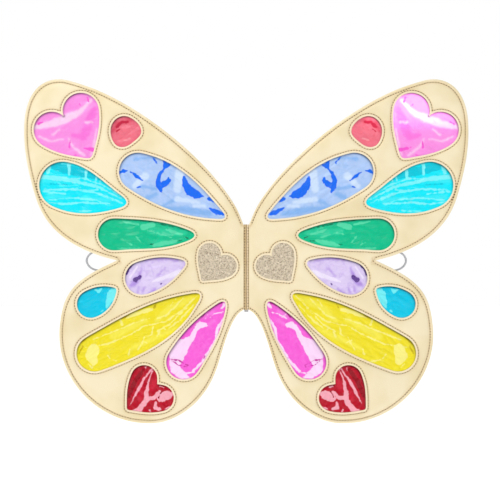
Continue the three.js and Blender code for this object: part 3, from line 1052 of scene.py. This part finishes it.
# %% Draw the strokes of the lower windows
film_strokes |= {
    "teal_drop": {
        "pale": [
            [(-0.9, 0.85, 2.4), (-0.74, 0.45, 5), (-0.62, 0.05, 3.4), (-0.5, -0.34, 1)],
            [(-0.26, 0.86, 0.6), (-0.1, 0.66, 1.7), (0.1, 0.82, 0.7)],
            [(-0.32, -0.5, 0.6), (-0.2, -0.62, 0.4)],
        ],
        "deep": [
            [(-0.2, 0.96, 0.4), (0.1, 0.94, 0.5)],
        ],
        "soft": [
            [(-0.5, 0.4, 1.5), (-0.3, 0.1, 1)],
        ],
    },
    "yellow_drop": {
        "pale": [
            [(-0.96, 0.95, 0.6), (-0.7, 0.54, 0.7), (-0.44, 0.27, 0.7), (-0.1, 0.16, 0.7),
             (0.16, -0.08, 0.7), (0.5, -0.3, 0.8), (0.85, -0.38, 0.6)],
            [(-0.2, 0.58, 2), (0.06, 0.46, 1.9), (0.2, 0.36, 0.3)],
            [(-0.18, 0.36, 0.4), (0.09, 0.22, 0.8), (0.33, 0.06, 0.8), (0.76, -0.2, 0.5)],
            [(0.72, -0.44, 6), (0.76, -0.6, 6.6), (0.72, -0.74, 4.4)],
            [(0.46, -0.66, 0.6), (0.51, -0.56, 0.5)], [(0.26, -0.76, 0.7), (0.42, -0.7, 0.6)],
            [(-0.24, 0.16, 0.7), (-0.22, -0.06, 1), (-0.16, -0.1, 0.3)],
            [(-0.14, -0.28, 0.8), (-0.04, -0.2, 0.4)], [(0, -0.44, 0.8), (-0.04, -0.32, 0.3)],
            [(-0.44, 0.06, 0.6), (-0.4, 0.14, 0.3)], [(0.75, -0.9, 0.8), (0.82, -0.8, 0.5)],
            [(-0.6, 0.85, 0.6), (-0.52, 0.66, 0.4)], [(0.4, 0.16, 0.3), (0.46, 0.24, 0.5)],
            [(-0.72, 0.86, 0.4), (-0.46, 0.44, 1), (-0.3, 0.34, 0.3)],
            [(-0.9, 0.7, 0.5), (-0.66, 0.3, 0.9), (-0.5, 0.1, 0.6)],
            [(-0.78, 0.62, 0.5), (-0.5, 0.2, 0.8), (-0.3, 0.02, 0.6)],
            [(-0.34, 0.02, 0.7), (-0.3, -0.1, 1.2)], [(-0.1, -0.12, 0.6), (-0.06, -0.28, 1.2)],
            [(0.14, -0.42, 0.6), (0.16, -0.56, 1.1)], [(0.3, 0.32, 0.8), (0.26, 0.2, 1.2)],
        ],
        "deep": [
            [(-0.3, 0.76, 0.6), (-0.26, 0.62, 0.8)], [(0.16, 0.42, 1), (0.3, 0.34, 0.7)],
            [(0.55, 0.12, 0.5), (0.8, -0.08, 0.7), (0.93, -0.3, 0.6)],
            [(0.9, -0.36, 0.9), (0.96, -0.55, 0.6)],
        ],
        "soft": [
            [(-0.85, 0.85, 2), (-0.5, 0.6, 3.5), (-0.3, 0.3, 2.5)], [(-0.1, 0.3, 3), (0.4, -0.1, 4)],
            [(-0.6, 0.1, 1.5), (-0.2, -0.2, 3), (0.1, -0.4, 2)],
        ],
    },
}

# %% Draw the strokes of the lowest windows
film_strokes |= {
    "magenta_drop": {
        "pale": [
            [(-0.32, 0.4, 2.4), (-0.14, 0.4, 3.4), (0.02, 0.26, 2.2), (0.14, 0.06, 3),
             (0.46, -0.14, 7.6), (0.64, -0.38, 8.4), (0.7, -0.54, 6)],
            [(0.86, -0.62, 1), (0.7, -0.74, 5.4), (0.48, -0.88, 4.6), (0.28, -0.94, 1.4)],
            [(-0.95, 0.6, 0.8), (-0.72, 0.3, 1.8), (-0.68, 0.03, 1.6),
             (-0.42, -0.3, 1.3), (-0.2, -0.56, 1.4), (0.1, -0.8, 1.3)],
            [(-0.96, 0.92, 1.8), (-0.86, 0.84, 1)],
            [(-0.94, 0.74, 0.5), (-0.6, 0.68, 0.6), (-0.32, 0.56, 0.4)],
            [(-0.5, 0.6, 0.3), (-0.3, 0.7, 0.5)], [(0.05, -0.82, 0.6), (0.4, -0.84, 0.8)],
        ],
        "deep": [
            [(-0.86, 0.97, 0.8), (-0.5, 0.84, 1.1), (-0.2, 0.6, 0.8)],
            [(0.27, -0.64, 0.5), (0.55, -0.52, 0.4), (0.85, -0.48, 0.6)],
            [(0.3, -0.68, 0.4), (0.6, -0.64, 0.5), (0.8, -0.52, 0.3)],
            [(-0.3, -0.4, 0.3), (-0.26, -0.46, 0.5)],
        ],
        "soft": [
            [(-0.6, 0.75, 2), (-0.3, 0.6, 2)], [(-0.6, 0.5, 1.5), (-0.4, 0.4, 1)],
        ],
    },
    "red_heart": {
        "pale": [
            [(-0.08, 0.84, 0.9), (0.27, 0.42, 1.2), (0.56, -0.14, 1.6),
             (0.72, -0.42, 0.8), (0.88, -0.7, 0.3)],
            [(0.18, 0.96, 0.5), (0.22, 0.72, 0.4)],
            [(-0.14, 0.84, 0.6), (0.06, 0.36, 0.8), (0.16, -0.14, 2.2),
             (0.18, -0.5, 2.6), (0.45, -0.86, 3), (0.74, -0.96, 1.8)],
            [(-0.4, -0.1, 1.2), (-0.16, -0.38, 2), (0.14, -0.4, 2)],
            [(-0.93, -0.2, 2), (-0.72, -0.26, 4.6), (-0.5, -0.34, 5), (-0.4, -0.42, 3)],
            [(-0.24, -0.6, 1.4), (-0.2, -0.8, 2), (-0.4, -0.86, 1.6)],
            [(-0.58, 0.06, 0.8), (-0.4, 0.1, 1.2)], [(-0.85, -0.76, 0.8), (-0.62, -0.86, 0.7)],
            [(0.04, -0.9, 1), (-0.02, -0.98, 0.6)],
        ],
        "deep": [
            [(0.3, 0.8, 2), (0.66, 0.3, 2.5), (0.9, -0.3, 1.8)],
            [(-0.5, -0.1, 0.6), (-0.36, -0.36, 0.6)],
        ],
        "soft": [
            [(-0.2, 0.3, 3), (-0.05, 0.0, 3)], [(0.35, -0.1, 2), (0.4, -0.4, 3)],
        ],
    },
}
print("strokes on", len(film_strokes), "windows")

# %% [markdown]
# ## Film colours
# Each film has four inks: its own colour, the pale tint of a painted reflection where it shines, the deep
# tint where it doesn't, and a soft one between. The pattern and the inks are mixed in one shader network that
# serves every film. The film lets some light through, so it uses transmission with a low roughness, which
# keeps it glossy. Most films have their deep marks on top, and three have their pale ones there, as painted
# reflections on creases over a darker band.

# %% Mix the film finishes
# The pale colour of each film is its painted reflection.
film_tints_and_reflections = {  # own colour, pale, deep, soft
    "pink_heart": ((252, 158, 234), (253, 218, 246), (250, 96, 218), (250, 130, 226)),
    "coral_pebble": ((243, 126, 146), (248, 156, 168), (206, 44, 76), (226, 84, 108)),
    "blue_drop": ((188, 213, 249), (214, 232, 254), (28, 118, 246), (148, 193, 243)),
    "aqua_drop": ((6, 238, 252), (134, 246, 252), (0, 210, 228), (60, 242, 252)),
    "green_drop": ((0, 202, 150), (92, 226, 182), (0, 140, 100), (40, 214, 166)),
    "lilac_drop": ((230, 216, 248), (244, 236, 254), (108, 74, 156), (190, 160, 232)),
    "teal_drop": ((0, 208, 236), (124, 242, 248), (0, 120, 160), (20, 216, 240)),
    "yellow_drop": ((242, 228, 38), (250, 242, 142), (206, 184, 8), (246, 236, 84)),
    "magenta_drop": ((248, 104, 222), (252, 222, 250), (204, 46, 166), (252, 132, 232)),
    "red_heart": ((190, 0, 38), (246, 178, 192), (158, 0, 28), (208, 24, 56)),
}


# %% Tint the films and paint their reflections
pale_blur = {"pink_heart": 1.9, "aqua_drop": 0.5, "blue_drop": 1.5, "green_drop": 0.6}
pale_on_top = {"aqua_drop", "green_drop", "yellow_drop"}
crisp = 0.32  # half the width, in mm, over which a crisp mark's edge turns


def film_with_painted_reflections(name, own, pale, deep, soft):
    material, shader = finish(f"{name}_film", roughness=0.14, ior=1.33, transmission_weight=0.6,
                              specular_ior_level=0.4)
    at = place(material)
    crumple = node(material, "TexNoise", {"Vector": at, "Scale": 170.0, "Detail": 3.0, "Distortion": 1.2})
    wander = scaled(material, crumple.outputs["Fac"], 0.2, 0.8, -0.7, 0.7)
    softness = scaled(material, crumple.outputs["Fac"], 0.42, 0.72, 0.0, 0.35)
    colour = blend_colours(material, softness, own, soft)
    marks = {}
    for mark, blur in (("soft", 2.2), ("pale", pale_blur.get(name, crisp)), ("deep", crisp)):
        reach = node(material, "Attribute", attribute_name=f"{mark}_reach").outputs["Fac"]
        moved = node(material, "Math", {0: reach, 1: wander}, operation="ADD").outputs[0]
        marks[mark] = scaled(material, moved, -blur, blur)
    # The pale layer is the painted reflection of the softboxes.
    layers = [("soft", soft), ("pale", pale), ("deep", deep)]
    if name in pale_on_top:
        layers = [layers[0], layers[2], layers[1]]
    for mark, ink in layers:
        colour = blend_colours(material, marks[mark], colour, ink)
    # Painted shadow: a thin dark line along each window's upper outer edge, where the leatherette's edge
    # shades the film.
    rim = node(material, "Attribute", attribute_name="rim").outputs["Fac"]
    dark = tuple(0.13 * c for c in deep[:3]) + (1.0,)
    wire(material, blend_colours(material, rim, colour, dark), shader.inputs["Base Color"])
    creases = node(material, "TexNoise", {"Vector": at, "Scale": 260.0, "Detail": 2.0, "Distortion": 2.0})
    bump(material, shader, creases.outputs["Fac"], 0.12, 0.0006)
    return material


film_finishes = {}
for name, inks in film_tints_and_reflections.items():
    colours = [paint(*ink) for ink in inks]
    film_finishes[name] = film_with_painted_reflections(name, *colours)
print("films", len(film_finishes))

# %% [markdown]
# ## The films
# Each film is a thin closed sheet, a little larger than its window so that it is caught under the
# leatherette. It lies flat where it is glued and buckles in between. The buckles are ridged noise, drawn out
# along the window, and they fade to nothing at the edge, so the film never pulls away from its frame.


# %% Measure how far a point lies inside a stroke
def stroke_reach(points, strokes, middle_point, half, limit=4.0):
    """For each point, how far inside the nearest stroke it is, in mm; negative outside."""
    best = np.full(len(points), -limit)
    for stroke in strokes:
        spots = np.array([middle_point + np.array([u, v]) * half for u, v, _ in stroke])
        widths = np.array([w for _, _, w in stroke]) * mm
        for a, b, wa, wb in zip(spots, spots[1:], widths, widths[1:]):
            along = np.clip(((points - a) @ (b - a)) / max((b - a) @ (b - a), 1e-12), 0, 1)
            gap = np.linalg.norm(points - (a + along[:, None] * (b - a)), axis=1)
            best = np.maximum(best, (wa + (wb - wa) * along - gap) / mm)
    return np.clip(best, -limit, limit)


def ridges(points, axis, seed, long=16 * mm, short=7 * mm):
    """Ridged noise from -1 to 1, drawn out along an axis."""
    across = np.array([-axis[1], axis[0]])
    u, v = points @ axis / long, points @ across / short
    values = np.array([noise.noise(Vector((a, b, seed))) for a, b in zip(u, v)])
    fine = np.array([noise.noise(Vector((2.3 * a, 2.3 * b, seed + 5))) for a, b in zip(u, v)])
    return 1 - 2 * np.abs(values) * 1.6 + 0.35 * fine - 0.5


# %% Stretch the films
film_lap, film_cell, film_buckle = 1.5 * mm, 1.0 * mm, 0.7 * mm


def long_axis(border):
    """The direction in which a window is longest."""
    spread = border - border.mean(0)
    return np.linalg.eigh(spread.T @ spread)[1][:, 1]


def film_sheet(name, seed):
    """Vertices, faces and marks of one film on the right wing."""
    window = windows[name]
    border = offset_border(window, film_lap)
    points, triangles = panel(border, [], [1.4 * mm, 2.8 * mm], film_cell)
    low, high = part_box(f"right_{name}_film")
    tree = finder(window)
    depth = np.where(inside(points, window), distances(tree, points), 0)
    buckle = film_buckle * ridges(points, long_axis(window), seed) * np.clip(depth / (5 * mm), 0, 1)
    skin = 0.04 * mm
    back_triangles = triangles[:, ::-1] + len(points)
    ring = len(border)
    faces = triangles.tolist() + back_triangles.tolist()
    faces += [[(k + 1) % ring, k, k + len(points), (k + 1) % ring + len(points)] for k in range(ring)]
    levels = low.y + skin + buckle, high.y - skin + buckle
    body = np.vstack([np.stack([points[:, 0], level, points[:, 1]], axis=1) for level in levels])
    middle_point, half = (window.min(0) + window.max(0)) / 2, (window.max(0) - window.min(0)) / 2
    sway = [wobble(points, 5 * mm, seed + 1), wobble(points, 5 * mm, seed + 2)]
    bent = points + 0.7 * mm * np.stack(sway, axis=1)
    marks = {f"{mark}_reach": np.tile(stroke_reach(bent, film_strokes[name][mark], middle_point, half), 2)
             for mark in ("pale", "deep", "soft")}
    # The rim value marks that painted shadow: near the window's edge, on its upper outer side.
    normals = edge_normals(even_steps(window, finder_step, closed=True))
    nearest = np.array([tree.find((x, 0, z))[1] for x, z in points])
    facing = np.clip(normals[nearest] @ np.array([0.45, 0.9]), 0, 1)
    marks["rim"] = np.tile(facing * np.exp(-((depth / (1.7 * mm)) ** 2)), 2)
    return body, faces, marks


# %% Lay a film in every window
for number, name in enumerate(window_names):
    body, faces, marks = film_sheet(name, 40.0 + 3 * number)
    for side, way in sides.items():
        film = new_piece(f"{side}_{name}_window", *on_side(body, faces, way), f"{side}_wing",
                         film_finishes[name], f"{name}_film")
        for mark, values in marks.items():
            store(film, mark, values)
        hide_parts(f"{side}_{name}_film")
    print(name, len(body), "points")

# %% [markdown]
# ## Glitter hearts
# The two hearts beside the spine are backed with glitter cloth: flakes of champagne foil glued every way up,
# so neighbouring flakes are light or dark. Each flake is one cell of a Voronoi pattern with its own tone,
# light or dark, which is painted glint and painted shade standing for the way the flake faces.


# %% Glue the glitter hearts
def glitter_finish():
    material, shader = finish("champagne_glitter", metallic=0.35, specular_ior_level=0.6)
    at = place(material)
    flakes = node(material, "TexVoronoi", {"Vector": at, "Scale": 1300.0})
    cast = node(material, "TexNoise", {"Vector": at, "Scale": 300.0, "Detail": 2.0})
    # Painted glint and shade: each flake's tone, from the cell's random colour and a broad noise.
    tone = node(material, "SeparateColor", {"Color": flakes.outputs["Color"]}).outputs[0]
    mixed = node(material, "Math", {0: tone, 1: cast.outputs["Fac"]}, operation="ADD")
    shade = node(material, "Math", {0: mixed.outputs[0], 1: 0.5}, operation="MULTIPLY")
    colour = ramp(material, shade.outputs[0], (0.2, paint(156, 140, 118)), (0.4, paint(188, 173, 149)),
                  (0.62, paint(208, 194, 172)), (0.8, paint(232, 221, 202)))
    wire(material, colour, shader.inputs["Base Color"])
    wire(material, scaled(material, tone, 0.0, 1.0, 0.25, 0.6), shader.inputs["Roughness"])
    bump(material, shader, tone, 0.5, 0.0004)
    return material


glitter = glitter_finish()
heart_border = offset_border(windows["glitter_heart"], film_lap)
heart_points, heart_triangles = panel(heart_border, [], [1.5 * mm], 1.2 * mm)
heart_low, heart_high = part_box("right_glitter_heart")
for side, way in sides.items():
    rough = heart_low.y + 0.08 * mm * (1 + wobble(heart_points, 1.3 * mm, 90.0 + way))
    body, faces = closed_panel(heart_points, heart_triangles, [heart_border], rough, heart_high.y)
    heart = new_piece(f"{side}_glitter_cloth", *on_side(body, faces, way), f"{side}_wing", glitter, "glitter")
    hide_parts(f"{side}_glitter_heart")
print("glitter heart", len(heart_points), "points")

# %% [markdown]
# ## Swept pieces
# The binding, tape, fold webs and elastic all have one section that is carried along a line. A loft joins a
# row of equal rings of points with quads and closes both ends, so each of these is one closed body.


# %% Join rings of points into a body
def loft(rings):
    """Vertices and faces of the body through equal rings, closed at both ends and facing out."""
    rings = np.asarray(rings)
    count, size = rings.shape[:2]
    faces = [[r * size + k, r * size + (k + 1) % size, (r + 1) * size + (k + 1) % size, (r + 1) * size + k]
             for r in range(count - 1) for k in range(size)]
    faces += [list(range(size))[::-1], [(count - 1) * size + k for k in range(size)]]
    points = rings.reshape(-1, 3)
    volume = sum(np.dot(points[f[0]], np.cross(points[f[i]], points[f[i + 1]]))
                 for f in faces for i in range(1, len(f) - 1))
    return points, faces if volume > 0 else [f[::-1] for f in faces]


# %% [markdown]
# ## The spine
# Both wings are caught in one strip of leatherette, folded down its middle and sewn with a row of stitches on
# each side of the crease. Its gold is painted darker than the wings' as shade, because it lies sunk between
# them; the crease and the edges beyond the stitch rows carry darker painted shade, and the half on the +x
# side of the crease a painted highlight. A grey woven tape lies behind it and shows below, where it is cut.


# %% Fold the binding over its tape
binding_low, binding_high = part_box("spine_binding")
tape_low, tape_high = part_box("spine_tape")
binding_row = 1.75 * mm


def binding_ring(z):
    """The section of the binding at a height: a sunk crease between two rolls, flat behind."""
    half = binding_high.x
    x = np.linspace(-half, half, 21)
    pull = 0.06 * mm * noise.noise(Vector((0, z / (2.5 * mm), 3)))
    crease = 0.55 * mm * np.exp(-((x / (0.55 * mm)) ** 2))
    seam = 0.2 * mm * np.exp(-(((abs(x) - binding_row) / (0.35 * mm)) ** 2))
    roll = 0.3 * mm * np.clip((abs(x) - half + 0.5 * mm) / (0.5 * mm), 0, 1) ** 2
    front = binding_low.y - 0.1 * mm + crease + seam + roll + pull
    face = np.stack([x, front, np.full(len(x), z)], axis=1)
    back = np.array([[half, binding_high.y, z], [-half, binding_high.y, z]])
    return np.vstack([face, back])


heights = np.linspace(binding_low.z, binding_high.z, 80)
binding_points, binding_faces = loft([binding_ring(z) for z in heights])
spine_fold = new_piece("spine_fold", binding_points, binding_faces, "spine", shaded_binding_gold,
                       "binding_leatherette")
crease_width = 0.5 * mm
# Painted shade in the crease and beyond the stitch rows, and a painted highlight on the +x half.
crease_shade = np.exp(-((binding_points[:, 0] / crease_width) ** 2))
store(spine_fold, "seam", np.clip(crease_shade + 0.5 * (abs(binding_points[:, 0]) > binding_row), 0, 1))
store(spine_fold, "lip", 0.5 * (binding_points[:, 0] > crease_width))
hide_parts("spine_binding")

row_z = np.linspace(binding_low.z + mm, binding_high.z - mm, 60)
binding_rows = [np.stack([np.full(len(row_z), x), row_z], axis=1) for x in (-binding_row, binding_row)]
spine_rows = rows_of([(line, False) for line in binding_rows], binding_low.y + 0.1 * mm, -1)
sew("spine_stitching", spine_rows, "spine", "binding_leatherette")

# %% Weave the tape
def rounded(wave, power):
    """A cosine or sine made squarer, for a flat section with soft edges."""
    return np.sign(wave) * np.abs(wave) ** power


def tape_ring(z):
    """A flat ribbon with rounded selvedges."""
    low, high, half = tape_low.y, tape_high.y, tape_high.x
    thick = high - low
    turn = np.linspace(0, 2 * math.pi, 16, endpoint=False)
    squared = rounded(np.cos(turn), 0.3), rounded(np.sin(turn), 0.6)
    rib = 1 - 0.05 * (0.5 + 0.5 * math.sin(z / (0.5 * mm)))
    y = (low + high) / 2 + thick / 2 * rib * squared[1]
    return np.stack([half * squared[0], y, np.full(len(turn), z)], axis=1)


tape_points, tape_faces = loft([tape_ring(z) for z in np.linspace(tape_low.z, tape_high.z, 240)])
tape = new_piece("spine_ribbon", tape_points, tape_faces, "spine", grey_tape, "tape")
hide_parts("spine_tape")
print("binding", len(binding_points), "points, tape", len(tape_points), "points")

# %% [markdown]
# ## Fold webs
# When a wing swings forward, the leatherette between it and the spine bends like a hinge. A narrow strip of
# the same gold runs from inside the binding to behind the front skin.

# %% Hang the fold webs
web_line = np.array([(1.7, -1.75), (2.3, -1.8), (2.75, -2.15), (3.1, -2.6), (3.6, -2.92), (4.6, -2.95)]) * mm
web_half = 0.1 * mm
for side, way in sides.items():
    line = line_through(web_line, pieces=3)
    along = np.gradient(line, axis=0)
    along /= np.linalg.norm(along, axis=1)[:, None]
    normal = np.stack([-along[:, 1], along[:, 0]], axis=1)
    outline = np.vstack([line + normal * web_half, (line - normal * web_half)[::-1]])
    web_heights = np.linspace(binding_low.z + 0.5 * mm, binding_high.z - 0.5 * mm, 40)
    rings = [np.stack([way * outline[:, 0], outline[:, 1], np.full(len(outline), z)], 1) for z in web_heights]
    web = new_piece(f"{side}_fold_web", *loft(rings), None, shaded_binding_gold, "binding_leatherette")
    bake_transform(web)
print("fold webs", len(rings), "rings each")

# %% [markdown]
# ## The elastic arm loops
# Each loop is a flat woven elastic. It stands on edge behind the wing, as a stored band does, and twists flat
# over its last stretch, where it is caught under its patch. The route is the CAD's, so the collision and the
# looks agree.

# %% Sweep the elastic along its route
anchor_low, anchor_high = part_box("right_upper_strap_anchor")
lower_anchor_low, lower_anchor_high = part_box("right_lower_strap_anchor")
strap_low, strap_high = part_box("right_arm_strap")
strap_middle = (strap_low.y + strap_high.y) / 2
patch_middle = (anchor_low.y + anchor_high.y) / 2
twist_run = 22 * mm


def strap_rings(line, way):
    """Rings of a flat band with soft edges along an (x, z) line, and the middle of each."""
    along = run_along(line)
    ahead = np.gradient(line, axis=0)
    ahead /= np.linalg.norm(ahead, axis=1)[:, None]
    turn = np.linspace(0, 2 * math.pi, 20, endpoint=False)
    wide = rounded(np.cos(turn), 0.35) * strap_width / 2
    thick = rounded(np.sin(turn), 0.55) * strap_thickness / 2
    rings, path = [], []
    for s, (x, z), (ax, az) in zip(along, line, ahead):
        free = np.clip(min(s, along[-1] - s) / twist_run, 0, 1)
        free = free * free * (3 - 2 * free)
        lean = (1 - free) * math.pi / 2
        y = patch_middle + (strap_middle - patch_middle) * free
        normal = np.array([-az, 0, ax])
        facing = math.cos(lean) * np.array([0, 1, 0]) + math.sin(lean) * normal
        over = math.cos(lean) * normal - math.sin(lean) * np.array([0, 1, 0])
        rib = 1 + 0.05 * math.sin(s / (0.45 * mm))
        middle_point = np.array([x, y, z])
        ring = middle_point + wide[:, None] * facing + rib * thick[:, None] * over
        rings.append(ring * np.array([way, 1, 1]))
        path.append(middle_point * np.array([way, 1, 1]))
    return rings, path


fine_strap_line = even_steps(line_through(np.array(strap_route) * mm), 1.2 * mm)
for side, way in sides.items():
    rings, path = strap_rings(fine_strap_line, way)
    strap_points, strap_faces = loft(rings)
    strap = new_piece(f"{side}_elastic_loop", strap_points, strap_faces, f"{side}_wing", grey_elastic,
                      "elastic")
    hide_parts(f"{side}_arm_strap")

# %% [markdown]
# ## The patches over the elastic's ends
# A small square of leatherette is folded over each end of the elastic and box-stitched to the backing. It is
# a panel with its own border, made by the same recipe as the skins and facing backwards.


# %% Sew the patches
def rounded_box(low, high, radius, count=6):
    """The border of a rectangle with round corners, anticlockwise."""
    centres = [(high[0] - radius, high[1] - radius, 0), (low[0] + radius, high[1] - radius, 1),
               (low[0] + radius, low[1] + radius, 2), (high[0] - radius, low[1] + radius, 3)]
    points = [(x + radius * math.cos(a), z + radius * math.sin(a)) for x, z, quarter in centres
              for a in np.linspace(quarter * math.pi / 2, (quarter + 1) * math.pi / 2, count)]
    return even_steps(np.array(points), 0.8 * mm, closed=True)


patch_seam = 1.6 * mm
patch_places = [("upper", anchor_low, anchor_high), ("lower", lower_anchor_low, lower_anchor_high)]
for place_word, low, high in patch_places:
    patch_border = rounded_box((low.x, low.z), (high.x, high.z), 1.4 * mm)
    patch_points, patch_faces = panel(patch_border, [], [0.6 * mm, 1.1 * mm, 1.6 * mm, 2.2 * mm], 1.1 * mm)
    depth = distances(finder(patch_border), patch_points)
    height = 0.6 * sewn(depth, patch_seam) + 0.3 * mm * swell(depth, patch_seam, 2 * mm)
    patch_row = offset_border(patch_border, -patch_seam, 0.5 * mm)
    for side, way in sides.items():
        grain = 0.08 * mm * wobble(patch_points, 3 * mm, 60 + way)
        face = high.y - 0.3 * mm + height + grain
        body, faces = closed_panel(patch_points, patch_faces, [patch_border], face, low.y)
        body, faces = on_side(body, [f[::-1] for f in faces], way)
        patch = new_piece(f"{side}_{place_word}_patch", body, faces, f"{side}_wing", backing,
                          "back_leatherette")
        # Painted shade along the patch's seam.
        store(patch, "seam", np.exp(-abs(depth - patch_seam) / (0.6 * mm)))
        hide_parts(f"{side}_{place_word}_strap_anchor")
        row = stitch_row(patch_row, True, high.y - 0.5 * mm, 1, pitch=2 * mm, length=1.6 * mm,
                         radius=0.2 * mm)
        sew(f"{side}_{place_word}_patch_stitching", [row], f"{side}_wing", "back_leatherette", way)
print("patches", len(patch_points), "points each")

# %% [markdown]
# ## Studio
# The wings hang in front of plain white, lit by one broad softbox above the camera, a smaller one from the
# left, a strip overhead that draws a thin shade under the upper edge of each window, deepened there by a
# painted shadow on the films, and one behind that shines through the films. The world is white to the eye and
# through the films, and dimmer as a light, so that the softboxes can shape the padding.


# %% Light the studio
def softbox(name, location, target, size, power):
    light = bpy.data.lights.new(name, "AREA")
    light.shape = "RECTANGLE"
    light.size, light.size_y = size
    light.energy = power
    lamp = bpy.data.objects.new(name, light)
    lamp.location = location
    lamp.rotation_euler = (Vector(target) - Vector(location)).to_track_quat("-Z", "Y").to_euler()
    bpy.context.scene.collection.objects.link(lamp)
    return lamp


softbox("key_softbox", (-0.35, -1.3, 0.95), middle, (0.9, 0.6), 6.4)
softbox("left_softbox", (-1.3, -0.7, 0.2), middle, (0.5, 0.9), 2.0)
softbox("overhead_strip", (0.0, -0.25, 1.1), middle, (1.2, 0.25), 1.8)
softbox("back_softbox", (0.6, 1.4, 0.7), middle, (0.8, 0.8), 5.0)

world = bpy.data.worlds.new("white_studio")
bpy.context.scene.world = world
world.use_nodes = True
tree = world.node_tree
dim = tree.nodes["Background"]
dim.inputs["Color"].default_value = (1.0, 0.99, 0.975, 1.0)
dim.inputs["Strength"].default_value = 0.62
bright = tree.nodes.new("ShaderNodeBackground")
bright.inputs["Color"].default_value = (1.0, 1.0, 1.0, 1.0)
bright.inputs["Strength"].default_value = 1.0
rays = tree.nodes.new("ShaderNodeLightPath")
seen = tree.nodes.new("ShaderNodeMath")
seen.operation = "MAXIMUM"
mixer = tree.nodes.new("ShaderNodeMixShader")
tree.links.new(rays.outputs["Is Camera Ray"], seen.inputs[0])
tree.links.new(rays.outputs["Is Transmission Ray"], seen.inputs[1])
tree.links.new(seen.outputs[0], mixer.inputs[0])
tree.links.new(dim.outputs[0], mixer.inputs[1])
tree.links.new(bright.outputs[0], mixer.inputs[2])
tree.links.new(mixer.outputs[0], tree.nodes["World Output"].inputs["Surface"])
bpy.context.scene.view_settings.view_transform = "Standard"

# %% [markdown]
# ## The floor
# A wide pale floor lies well below, because the wings are held up by whoever wears them. It glows a little,
# as a lit sweep of paper does, so it runs into the white behind without an edge.

# %% Lay the floor
floor_mesh = bpy.data.meshes.new("floor")
reach, drop = 8.0, cad_low.z - 0.26  # half the floor's width, and its height
floor_mesh.from_pydata([(-reach, -reach, drop), (reach, -reach, drop), (reach, reach, drop),
                        (-reach, reach, drop)], [], [(0, 1, 2, 3)])
floor = bpy.data.objects.new("floor", floor_mesh)
bpy.context.scene.collection.objects.link(floor)
paper, paper_shader = finish("pale_floor", roughness=0.8, emission_color=(1, 1, 1, 1), emission_strength=0.55)
mottle = node(paper, "TexNoise", {"Vector": place(paper), "Scale": 3.0})
wire(paper, ramp(paper, mottle.outputs["Fac"], (0.3, (0.86, 0.86, 0.86, 1)), (0.7, (0.9, 0.9, 0.9, 1))),
     paper_shader.inputs["Base Color"])
floor_mesh.materials.append(paper)
print("floor at", round(drop, 3), "m")
